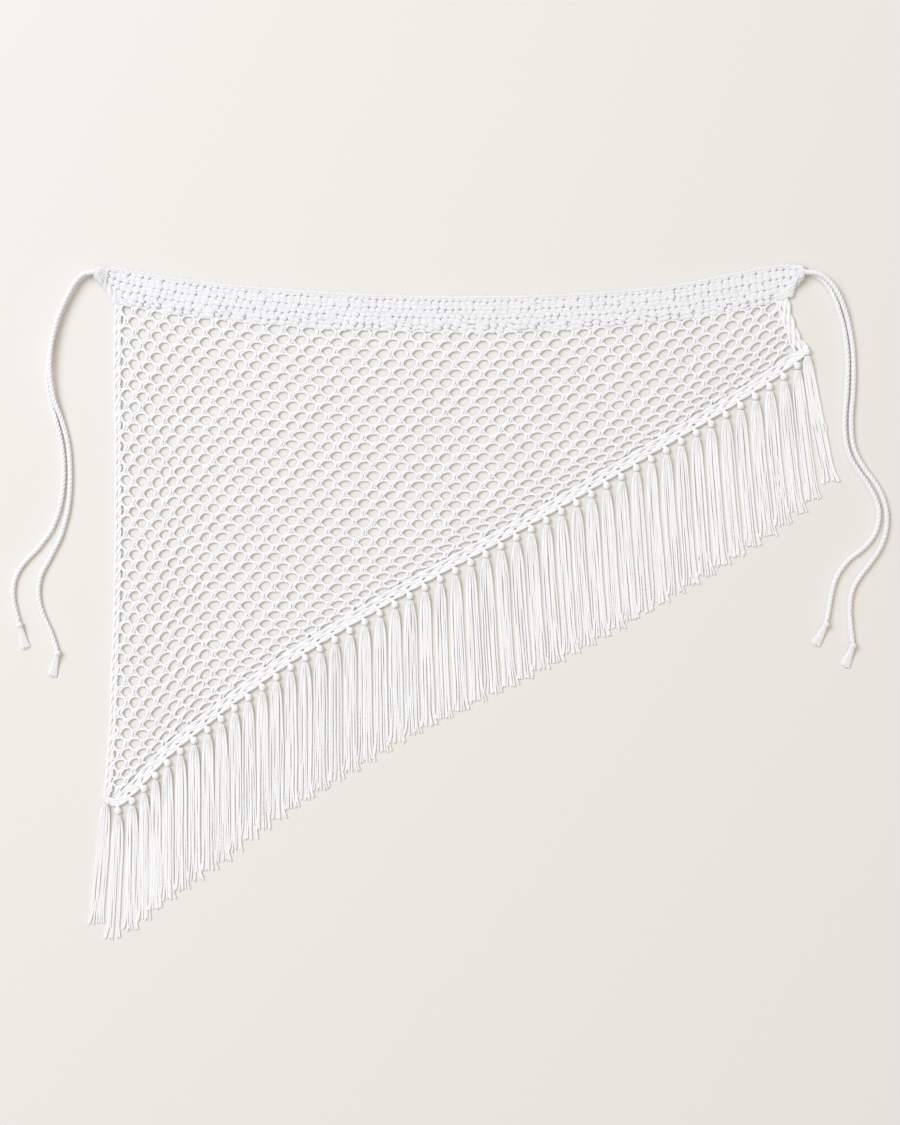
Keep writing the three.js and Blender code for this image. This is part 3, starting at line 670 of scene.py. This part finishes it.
def cotton(name, color, shade, lay, plies, depth):
    """Plied cotton yarn: plies that wind round it, soft fibres, and painted shade, a cooler darker colour on
    its flanks and in its ply grooves.
    """
    material, tree = new_material(name)
    along = tree.add("ShaderNodeAttribute", {"attribute_name": "along"}, None, "Fac")
    x, y, _ = tree.parts(tree.add("ShaderNodeAttribute", {"attribute_name": "round"}, None, "Vector"))
    angle = y.math("ARCTAN2", y, x)
    ply = (angle * plies + along * (2 * math.pi / lay)).sine() * 0.5 + 0.5
    ply = ply ** 0.6
    place = tree.add("ShaderNodeTexCoord", None, None, "Object")
    fibre = tree.noise(place, 1500.0, 3.0)
    patch = tree.noise(place, 60.0, 2.0)
    # Painted shade: faces that look straight up get the plain colour, while flanks and the grooves between
    # plies get the shade colour. The fibre and patch noise adds random tone.
    _, _, painted_top_light = tree.parts(tree.add("ShaderNodeTexCoord", None, None, "Normal"))
    painted_shade_and_tone = (ply * 0.3 + fibre * 0.25 + patch * 0.3 - 0.3 + painted_top_light * 0.75).limited()
    mixed = tree.add(
        "ShaderNodeMix", {"data_type": "RGBA"},
        {"Factor": painted_shade_and_tone, "A": (*shade, 1), "B": (*color, 1)}, "Result",
    )
    height = ply + fibre * 0.5
    bump = tree.add(
        "ShaderNodeBump", None, {"Strength": 0.5, "Distance": depth, "Height": height}, "Normal"
    )
    rough = 0.82 + fibre * 0.14
    set_inputs(material.node_tree.nodes["Principled BSDF"], {
        "Base Color": mixed, "Roughness": rough, "Normal": bump,
        "Sheen Weight": 0.3, "Sheen Roughness": 0.5, "Specular IOR Level": 0.25,
    })
    return material


# Each yarn's second colour is its painted shade, which flanks and ply grooves take.
crochet_cotton = cotton("crochet cotton", (0.965, 0.96, 0.97), (0.83, 0.825, 0.885), 0.0052, 3, 0.0002)
fringe_yarn = cotton("fringe yarn", (0.97, 0.965, 0.965), (0.9, 0.89, 0.92), 0.0062, 3, 0.00015)
# The waistband's yarn is a darker copy of the crochet cotton, with a much darker shade colour: painted shade
# over the band's stitches and pinholes.
waistband_shaded_cotton = cotton("waistband shaded cotton", (0.91, 0.905, 0.925), (0.68, 0.68, 0.75), 0.0052, 3, 0.0002)
tie_cotton = cotton("braided tie cotton", (0.945, 0.94, 0.95), (0.84, 0.835, 0.88), 0.005, 3, 0.0002)


def paper():
    """The pale warm paper that the sarong lies on."""
    material, tree = new_material("warm paper")
    place = tree.add("ShaderNodeTexCoord", None, None, "Object")
    grain = tree.noise(place, 260.0, 4.0)
    mixed = tree.add(
        "ShaderNodeMix", {"data_type": "RGBA"},
        {"Factor": grain, "A": (0.835, 0.806, 0.765, 1), "B": (0.855, 0.828, 0.79, 1)}, "Result",
    )
    bump = tree.add("ShaderNodeBump", None, {"Strength": 0.1, "Distance": 0.0003, "Height": grain}, "Normal")
    set_inputs(material.node_tree.nodes["Principled BSDF"], {
        "Base Color": mixed, "Normal": bump, "Roughness": 0.9, "Specular IOR Level": 0.1,
    })
    return material


plait = plaited_yarn()
rows_of_stitches = stitched_rows()
strands_of_tassels = tassel_strands()


# ---- Camera ----
VIEW_MIDDLE = (-0.0141, 0.0494)
VIEW_HEIGHT = 1.40625
LENS = 85.0
SENSOR_WIDTH = 36
camera_data = bpy.data.cameras.new("camera")
camera_data.lens = LENS
camera_data.sensor_width = SENSOR_WIDTH
camera = new_object("camera", camera_data)
camera.location = (*VIEW_MIDDLE, LENS / SENSOR_WIDTH * VIEW_HEIGHT)
bpy.context.scene.camera = camera


# ---- Ties ----
def tie_points(tie):
    """The points that the middle line of a tie goes through."""
    heights = [*tie["heights"], *[LOW] * len(tie["route"])]
    return [(x, y, z) for (x, y), z in zip(tie["route"], heights)]


def tie_line(tie):
    """The middle line of a tie, from the waistband's tip to the near side of its knot."""
    last = np.array(tie_points(tie)[-1])
    knot = np.array([*tie["knot"], LOW])
    onward = (knot - last) / np.linalg.norm(knot - last)
    return smooth_line([*tie_points(tie), tuple(knot - onward * END_KNOT_RADIUS)], 2)


def ball(centre, radius, turns, points_a_turn, tilt, rise=1.0):
    """A line wound over a ball from one side to the other."""
    count = turns * points_a_turn
    t = np.linspace(0.06, 0.94, count)
    fall = t * math.pi
    spin = t * turns * 2 * math.pi
    local = np.column_stack([np.cos(fall), np.sin(fall) * np.cos(spin), np.sin(fall) * np.sin(spin)]) * radius
    x, y, z = local.T
    c, s = math.cos(tilt), math.sin(tilt)
    return np.column_stack([x * c - y * s, x * s + y * c, z * rise]) + np.asarray(centre)


BRUSH_YARNS = 12


def tie_end(tie):
    """The knot of a tie and its short brush of cut yarn."""
    knot, brush = np.array(tie["knot"]), np.array(tie["brush"])
    centre = (*knot, END_KNOT_RADIUS + 0.25)
    turns = [ball(centre, END_KNOT_RADIUS - 1.3, 4, 9, tilt) for tilt in (0.6, 2.3)]
    wound = rope("knot", turns, tie_cotton, yarn=1.45, sides=6, step=1.6, uneven=0.2)
    down = (brush - knot) / np.linalg.norm(brush - knot)
    aside = np.array([-down[1], down[0]])
    strands = []
    for k in range(BRUSH_YARNS):
        spread = (k + 0.5) / (BRUSH_YARNS / 2) - 1
        lift = 1.9 * (1 - spread**2) * (1 if k % 2 else 0.2)
        reach = np.linalg.norm(brush - knot) * (1 - 0.06 * spread**2 + 0.07 * math.sin(k * 2.4))
        share = np.linspace(0, 1, 6)
        flat = knot + np.outer(share * reach, down) + np.outer(5.7 * spread * (0.3 + 0.7 * share**0.8), aside)
        high = 4.4 * (1 - share) ** 2 + 1.35 + lift * (1 - share * 0.5)
        strands.append(at_height(flat, high))
    tuft = rope("brush", strands, tie_cotton, yarn=1.05, sides=5, step=3.2, uneven=0.4)
    return piece("braid_end_" + tie["name"], [wound, tuft])


for tie in TIES:
    line = tie_line(tie)
    braid = rope("braid", [line], tie_cotton, yarn=1.8, sides=8, step=1.6, uneven=0.12, strands=3, side=1.45,
                 rise=1.35, turn=17)
    cord = piece("braid_" + tie["name"], [braid])
    end = tie_end(tie)
    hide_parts("tie_" + tie["name"])
    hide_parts("end_" + tie["name"])
    [v * MM for v in tie_points(tie)[0]]


# ---- Waistband ----
band_top = smooth_line([(*s["top"], s["wrap"]) for s in BAND_SECTIONS], 1)
band_foot = smooth_line([s["foot"] for s in BAND_SECTIONS], 1)


def band_sections(count):
    """Points of the top edge and the foot that face each other, and how far the band is gathered there."""
    places = np.linspace(0, len(BAND_SECTIONS) - 1, count)
    marks = np.arange(len(BAND_SECTIONS))
    edges = []
    for line, key in ((band_top, "top"), (band_foot, "foot")):
        runs = runs_along(line[:, :2])
        knots = [runs[np.argmin(np.hypot(*(line[:, :2] - s[key]).T))] for s in BAND_SECTIONS]
        stations = np.interp(places, marks, knots)
        edges.append(np.column_stack([np.interp(stations, runs, line[:, k]) for k in range(2)]))
    return *edges, np.interp(places, marks, [s["wrap"] for s in BAND_SECTIONS])


top_line, foot_line, wrap_line = band_sections(401)
band_drop = foot_line - top_line
band_share = np.linalg.norm(band_drop, axis=1) / BAND_WIDTH
CLOTH_UNDER_STITCHES = 1.3


def band_height(across):
    """How high the cloth under the stitches is along one share of the band's width."""
    dome = np.sqrt(1 - 0.85 * (2 * across - 1) ** 2)
    return CLOTH_UNDER_STITCHES + (WRAP_HEIGHT - 4.6) * wrap_line**1.5 * dome


def band_path(across, above, narrowest=0.5):
    """The line at one share of the band's width, as far as the band is stitched."""
    path = at_height(top_line + band_drop * across, band_height(across) + above)
    return path[band_share > narrowest]


def worked_along_band(name, shares, above, narrowest=0.5):
    """Paths for rows of stitches, which are lower where the band is narrower."""
    paths = [band_path(across, above, narrowest) for across in shares]
    return worked_paths(name, paths, {"width": [band_share[band_share > narrowest]] * len(paths)})


def gathered(side, shares):
    """Long strands that draw together into the tip on one side."""
    here = (band_share < 0.58) & (top_line[:, 0] * side > 0)
    paths = []
    for k, across in enumerate(shares):
        flat = (top_line + band_drop * across)[here]
        paths.append(at_height(flat, band_height(across)[here] + 0.9 + (k % 3) * 0.3))
    return paths


SLANT_STARTS = {-1: 412, 1: 394}


def slanted_edge(side):
    """The strands along the slanting edge between a tip and the side edging."""
    here = foot_line[:, 0] * side > SLANT_STARTS[side]
    flat, level = foot_line[here], band_height(1.0)[here]
    return [at_height(shifted_line(flat, back), level + 1.6) for back in (1.8, 5.2)]


def tip_cap(side):
    """The turns of yarn that bind the roots of the ties at a tip."""
    edge = 0 if side < 0 else len(top_line) - 1
    inward = 1 if side < 0 else -1
    paths = []
    for back in (1.4, 4.4):
        index = edge
        while abs(top_line[index][0] - top_line[edge][0]) < back:
            index += inward
        high, low = top_line[index], foot_line[index]
        t = np.linspace(0, math.pi, 11)
        reach = 0.5 - 0.5 * np.cos(t)
        slant = np.column_stack([-inward * 2.4 * np.cos(t), np.zeros(len(t))])
        flat = high + (low - high) * reach[:, None] + slant
        paths.append(at_height(flat, 1.6 + (WRAP_HEIGHT - 3) * np.sin(t) ** 0.7))
    return paths


def lofted(name, rings, material):
    """A closed solid through rings that have as many points each. The rings are in millimetres."""
    rings = np.asarray(rings) * MM
    work = bmesh.new()
    made = [[work.verts.new(point) for point in ring] for ring in rings]
    for near, far in zip(made, made[1:]):
        for k, vertex in enumerate(near):
            work.faces.new((near[k - 1], vertex, far[k], far[k - 1]))
    work.faces.new(made[0])
    work.faces.new(made[-1][::-1])
    bmesh.ops.recalc_face_normals(work, faces=work.faces)
    mesh = bpy.data.meshes.new(name)
    work.to_mesh(mesh)
    work.free()
    mesh.shade_smooth()
    mesh.materials.append(material)
    return mesh


def band_cloth():
    """The close single crochet that the stitches stand on."""
    shares = np.linspace(0.04, 0.96, 9)
    tops = [at_height(top_line + band_drop * f, band_height(f)) for f in shares]
    unders = [at_height(top_line + band_drop * f, 0.25) for f in (0.97, 0.03)]
    rings = np.stack([*tops, *unders], axis=1)[::4]
    return piece("crochet_waistband", [lofted("cloth", rings, waistband_shaded_cotton)])


def band_stitches():
    """Four rows of stitches with their chains, a rolled top edge, and the drawn-in tips."""
    rows = worked_along_band("rows", [start + 0.12 for start in BAND_ROWS_START[:-1]], 1.3)
    stitches = grown("stitches", rows_of_stitches, rows, waistband_shaded_cotton)
    last = worked_along_band("last row", [BAND_ROWS_START[-1] + 0.125], 1.3, 0.86)
    full = grown("full row", rows_of_stitches, last, waistband_shaded_cotton, stitch_height=11.4 * MM,
                 unevenness=0.18, stitch_width=9.8 * MM, rise=2.1 * MM, seed=8)
    borders = [band_path(start, 1.1) for start in BAND_ROWS_START[1:]] + [band_path(0.985, 0.7, 0.93)]
    chains = rope("chains", borders, waistband_shaded_cotton, yarn=1.45, sides=6, step=2.4, uneven=0.5, strands=2,
                  side=0.9, rise=0.5, turn=34)
    roll = rope("roll", [band_path(0.045, 0.9)], waistband_shaded_cotton, yarn=1.75, sides=7, step=1.8, uneven=0.3,
                strands=3, side=1.3, rise=1.1, turn=21)
    shares = (0.05, 0.19, 0.33, 0.47, 0.61, 0.76, 0.91)
    tips = [path for side in (-1, 1) for path in gathered(side, shares) + slanted_edge(side)]
    drawn = rope("gathered", tips, waistband_shaded_cotton, yarn=2.1, sides=7, step=2, uneven=0.6, strands=2,
                 side=1.4, rise=0.9, turn=24)
    caps = tip_cap(-1) + tip_cap(1)
    bound = rope("bound", caps, waistband_shaded_cotton, yarn=1.8, sides=7, step=1.5, uneven=0.4)
    return piece("waistband_stitches", [stitches, full, chains, roll, drawn, bound])


band = band_cloth()
stitches = band_stitches()
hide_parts("waistband")


# ---- Net panel ----
hem_out = smooth_line([s["out"] for s in HEM_SECTIONS], 2)
hem_in = smooth_line([s["inner"] for s in HEM_SECTIONS], 2)
foot_rising = foot_line[np.argsort(foot_line[:, 0])]
pitch_x, pitch_across, pitch_down = (np.array([row[k] for row in NET_PITCH]) for k in ("x", "across", "down"))
column_x = np.linspace(COLUMNS_FROM, COLUMNS_TO, 868)
column_at = np.concatenate([[0], np.cumsum(1 / np.interp(column_x[1:], pitch_x, pitch_across))])
HEM_SQUEEZE_FROM = 46
HEM_SQUEEZE_BACK = 11
OUT_OF_THE_NET = 20


def foot_height(x):
    """How far up the foot of the waistband is, from left to right."""
    return np.interp(x, foot_rising[:, 0], foot_rising[:, 1])


def hem_height(x):
    """How far up the inner side of the hem edging is, from left to right."""
    inner = hem_in[np.argsort(hem_in[:, 0])]
    return np.interp(x, inner[:, 0], inner[:, 1])


def mesh_place(column, row):
    """Where a point of the net lies. Knots are at whole columns, and in odd rows halfway between them."""
    x = np.interp(column, column_at, column_x)
    down = np.interp(x, pitch_x, pitch_down)
    y = foot_height(x) - FIRST_MESH_BELOW_BAND - down * (row - 1)
    x = x + 0.8 * np.sin(column * 1.9 + row * 1.3) + 0.3 * np.sin(row * 2.7 - column * 3.1)
    y = y + 0.6 * np.sin(column * 1.3 - row * 0.9)
    clear = y - hem_height(x)
    reach = HEM_SQUEEZE_FROM + HEM_SQUEEZE_BACK
    depth = np.clip((HEM_SQUEEZE_FROM - clear) / reach, 0, 1)
    squeezed = HEM_SQUEEZE_FROM * (1 - (1.2 * depth - 0.2 * depth**2))
    beyond = HEM_SQUEEZE_FROM - clear > reach
    y = np.where(clear < HEM_SQUEEZE_FROM, hem_height(x) + squeezed, y)
    y = np.where(beyond, hem_height(x) - OUT_OF_THE_NET, y)
    return x, y


def in_net(x, y):
    """True where the net is, with the little that is worked into the edgings."""
    left = np.interp(-y, [-p[1] for p in LEFT_EDGE], [p[0] for p in LEFT_EDGE]) + 6
    right = np.interp(-y, [-s["inner"][1] for s in RIGHT_EDGE], [s["inner"][0] for s in RIGHT_EDGE]) + 3
    return (x > left) & (x < right) & (y > hem_height(x) - 1)


def inside_runs(x, y, height):
    """The stretches of a line that are inside the net."""
    inside = in_net(x, y)
    points = np.column_stack([x, np.maximum(y, hem_height(x) - 1), height])[inside]
    breaks = np.where(np.diff(np.where(inside)[0]) > 1)[0] + 1
    return [run for run in np.split(points, breaks) if len(run) > 3]


def knot_columns(row):
    """The columns that the knots of a row stand in."""
    return np.arange(math.ceil(column_at[0]) + 1, column_at[-1]) - (row % 2) / 2


def mesh_loops(rows):
    """A loop of yarn round each hole of the net, round but for its straight side at the lower left."""
    turn = np.linspace(math.pi, -math.pi, 25)
    across = np.sign(np.cos(turn)) * np.abs(np.cos(turn)) ** (2 / LOOP_SQUARENESS)
    up = np.sign(np.sin(turn)) * np.abs(np.sin(turn)) ** (2 / LOOP_SQUARENESS)
    lower_left = turn < -math.pi / 2
    share = (turn[lower_left] + math.pi / 2) / (-math.pi / 2)
    across[lower_left] += STRAIGHT_SIDE * (-share - across[lower_left])
    up[lower_left] += STRAIGHT_SIDE * (share - 1 - up[lower_left])
    paths = []
    for row in rows:
        for column in [knot_columns(row)[0] - 0.5, *(knot_columns(row) + 0.5)]:
            wide = LOOP_REACH[0] * (1 + 0.04 * math.sin(column * 4.3 + row * 2.9))
            tall = LOOP_REACH[1] * (1 + 0.06 * math.sin(column * 3.1 - row * 3.7))
            x, y = mesh_place(column + wide * across + 0.05 * up, row - tall * (up + 0.07 * across))
            y = np.minimum(y, foot_height(x) + 1.2)
            paths += inside_runs(x, y, 2.3 + 0.35 * np.sin(turn * 2 + column + row))
    return paths


def knot_leaves(rows):
    """The stitch over each knot, a leaf of two strands that leans to the right, and how wide it is."""
    share = np.linspace(-1, 1, 6)
    paths, widths = [], []
    for row in rows:
        for column in knot_columns(row):
            x, y = mesh_place(column, row)
            lean = KNOT_HALF[0] + 0.5 * math.sin(column * 5.1 + row * 3.3)
            for side in (-1, 1):
                leaf = 1.8 * side * (0.3 + 0.7 * np.cos(share * 1.4))
                level = 2.1 + 1.3 * np.cos(share * 1.4)
                top = inside_runs(x + lean * share + leaf, y + KNOT_HALF[1] * share, level)
                paths += top
                widths += [0.65 + 0.35 * np.cos(np.linspace(-1.4, 1.4, len(run))) for run in top]
    return paths, widths


def net_part(name, rows):
    """Some rows of the net, as its loops and the stitches over its knots."""
    loops = rope("loops", mesh_loops(rows), crochet_cotton, yarn=1.65, sides=6, step=2.3, uneven=0.5)
    leaves, widths = knot_leaves(rows)
    over = rope("leaves", leaves, crochet_cotton, yarn=1.55, sides=6, step=2, uneven=0.4,
                attributes={"width": widths})
    return piece(name, [loops, over])


net = {name: net_part(name, part["rows"]) for name, part in NET_PARTS.items()}
for part in net.values():
    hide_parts("net_panel")


# ---- Edgings ----
def left_edging():
    """A twisted rim and a plaited chain inside it, up the left edge."""
    outer = smooth_line(LEFT_EDGE, 3)[::-1]
    lines = [at_height(shifted_line(outer, -d), z) for d, z in ((2, 2.5), (6.2, 2.3))]
    rim = rope("rim", lines[:1], crochet_cotton, yarn=1.8, sides=6, step=2.2, uneven=0.5, strands=2, side=1.1,
               rise=0.8, turn=27)
    chain = rope("chain", lines[1:], crochet_cotton, yarn=1.5, sides=6, step=2.2, uneven=0.5, strands=3,
                 side=1.4, rise=0.7, turn=27, crossings=2)
    return piece("crochet_left_edging", [rim, chain])


def right_edging():
    """Three ropes down the short right edge, worked into the end of the hem edging at the corner."""
    sections = [*RIGHT_EDGE, RIGHT_EDGE_END]
    out, inner = (smooth_line([s[key] for s in sections], 2) for key in ("out", "inner"))
    shares = np.linspace(0, 1, len(out))
    inner = np.column_stack([np.interp(shares, np.linspace(0, 1, len(inner)), values) for values in inner.T])
    lines = [at_height(out + (inner - out) * f, 2.5) for f in (0.15, 0.5, 0.88)]
    chain = rope("chain", lines, crochet_cotton, yarn=1.9, sides=7, step=2, uneven=0.5, strands=2, side=1.6,
                 rise=0.8, turn=36)
    return piece("crochet_right_edging", [chain])


hem_length = line_length(hem_out)
hem_runs = np.linspace(0, hem_length, len(hem_out))
tassel_pitch = (hem_length - LAST_TASSEL_BEFORE_END - SECOND_TASSEL_AT) / (TASSELS - 2)


def hem_edging():
    """Three ropes that make half a turn between tassels, and part round a small opening above each one."""
    turned = (hem_runs - SECOND_TASSEL_AT) / tassel_pitch / 2
    drift = 0.035 * np.sin(hem_runs / 17) + 0.025 * np.sin(hem_runs / 7.3 + 1)
    beat = np.maximum(0, np.cos(4 * math.pi * (turned - 0.025 + drift)))
    opening = beat**2 * (0.75 + 0.25 * np.sin(hem_runs / 23))
    ends = np.clip(np.minimum(hem_runs, hem_length - hem_runs) / 30, 0.15, 1)
    distances = (3.1 - 0.4 * opening, 7.4 + 2.4 * opening, 12.4 + 0.8 * opening)
    lines = [at_height(shifted_line(hem_out, d * ends), z) for d, z in zip(distances, (2.9, 2.6, 2.4))]
    turns = [turned, turned + 0.25, turned + 0.1]
    outer = rope("outer", lines[:1], crochet_cotton, yarn=2, sides=7, step=2, uneven=0.7, strands=2, side=1.4,
                 rise=0.8, attributes={"turned": turns[:1]})
    inner = rope("inner", lines[1:], crochet_cotton, yarn=1.9, sides=6, step=2.2, uneven=0.8, strands=2,
                 side=1.2, rise=0.7, attributes={"turned": turns[1:]})
    return piece("crochet_hem_edging", [outer, inner])


edgings = {"left_edging": left_edging(), "right_edging": right_edging(), "hem_edging": hem_edging()}
for node, made in edgings.items():
    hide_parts(node)


# ---- Fringe ----
def look_up(table, place, column):
    """A column of a table, between its rows."""
    return float(np.interp(place, [row["at"] for row in table], [row[column] for row in table]))


def tassel(number):
    """Where a tassel hangs: its knot and its tip."""
    along = FIRST_TASSEL_AT if number == 0 else SECOND_TASSEL_AT + (number - 1) * tassel_pitch
    root = [np.interp(along, hem_runs, hem_out[:, k]) for k in range(2)]
    knot = np.array([root[0], root[1] - KNOT_BELOW_HEM])
    place = along / hem_length
    tip = knot + (look_up(TASSEL_HANG, place, "lean"), -look_up(TASSEL_HANG, place, "drop"))
    index = int(np.clip(round(along / hem_length * (len(hem_out) - 1)), 2, len(hem_out) - 3))
    hem = hem_out[index + 2] - hem_out[index - 2]
    hem /= np.linalg.norm(hem)
    return {"number": number, "knot": knot, "tip": tip, "hem": hem, "inward": np.array([-hem[1], hem[0]])}


tassels = [tassel(number) for number in range(TASSELS)]


def tassel_room(number):
    """Half the width that a tassel has between its neighbours."""
    middle = [(t["knot"][0] + t["tip"][0]) / 2 for t in tassels]
    gaps = [abs(middle[number] - middle[k]) for k in (number - 1, number + 1) if 0 <= k < TASSELS]
    return min(WIDEST_TASSEL_HALF, sum(gaps) / len(gaps) / 2 + 0.1)


def fringe_part(name, numbers):
    """Some of the tassels, with their knots and the loops that tie them to the hem."""
    axes, halves, marks, knots, loops = [], [], [], [], []
    for number in numbers:
        t = tassels[number]
        below = 0 if number == 0 else KNOT_RADIUS + 0.9
        share = np.linspace(0, 1, 24)
        drop = t["tip"] - t["knot"]
        flat = np.column_stack([
            t["knot"][0] + drop[0] * share**1.2,
            t["knot"][1] - below + (drop[1] + below) * share,
        ])
        axes.append(at_height(flat, 1.1 + 3.1 * np.exp(-share / 0.09)))
        halves.append(tassel_room(number))
        marks.append(number)
        for aside in (-1.4, 1.4):
            climb = np.linspace(0, 1, 7)[:, None]
            flat = t["knot"] + t["hem"] * aside * (1 - 0.5 * climb) + t["inward"] * (2 + 5.6 * climb)
            loops.append(at_height(flat, 5.4 - 3.4 * climb[:, 0] ** 3))
        if number > 0:
            centre = (*t["knot"], KNOT_RADIUS * 0.78)
            knots.append(ball(centre, KNOT_RADIUS - 1.1, 6, 9, 1.35 + 0.25 * math.sin(number * 1.7), 0.7))
    paths = worked_paths("axes", axes, {"half": np.array(halves) * MM, "number": marks})
    hang = grown("hang", strands_of_tassels, paths, fringe_yarn)
    balls = rope("balls", knots, fringe_yarn, yarn=1.25, sides=6, step=1.8, uneven=0.1)
    tied = rope("loops", loops, fringe_yarn, yarn=1.25, sides=6, step=2, uneven=0.3)
    return piece(name, [hang, balls, tied])


half = TASSELS // 2
fringe = [fringe_part("tassels_left", range(half)), fringe_part("tassels_right", range(half, TASSELS))]
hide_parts(*[f"fringe_{k:02d}" for k in range(1, 6)])
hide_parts(*[f"fringe_{k:02d}" for k in range(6, 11)])


# ---- Floor and light ----
FLOOR_HALF = 25
floor_mesh = bpy.data.meshes.new("paper")
corners = [(x * FLOOR_HALF, y * FLOOR_HALF, 0) for x, y in ((-1, -1), (1, -1), (1, 1), (-1, 1))]
floor_mesh.from_pydata(corners, [], [(0, 1, 2, 3)])
floor_mesh.materials.append(paper())
floor = new_object("paper", floor_mesh)

LIGHT_DISTANCE = 7
light_aim = Vector((1.45, -0.95, -2.0)).normalized()
window_data = bpy.data.lights.new("window", "AREA")
window_data.shape = "DISK"
window_data.size = 4.6
window_data.energy = 338
window_data.color = (0.755, 0.868, 1.0)
window = new_object("window", window_data)
window.rotation_mode = "QUATERNION"
window.rotation_quaternion = light_aim.to_track_quat("-Z", "Y")
window.location = Vector((*VIEW_MIDDLE, 0)) - light_aim * LIGHT_DISTANCE

world = bpy.data.worlds.new("soft sky")
world.use_nodes = True
sky = Tree(world.node_tree)
_, _, overhead = sky.parts(sky.add("ShaderNodeTexCoord", None, None, "Generated"))
glow = 0.42 + 0.46 * overhead.limited() ** 2
set_inputs(world.node_tree.nodes["Background"], {"Color": (1.0, 0.91, 0.79, 1), "Strength": glow})
bpy.context.scene.world = world
bpy.context.scene.view_settings.view_transform = "Standard"
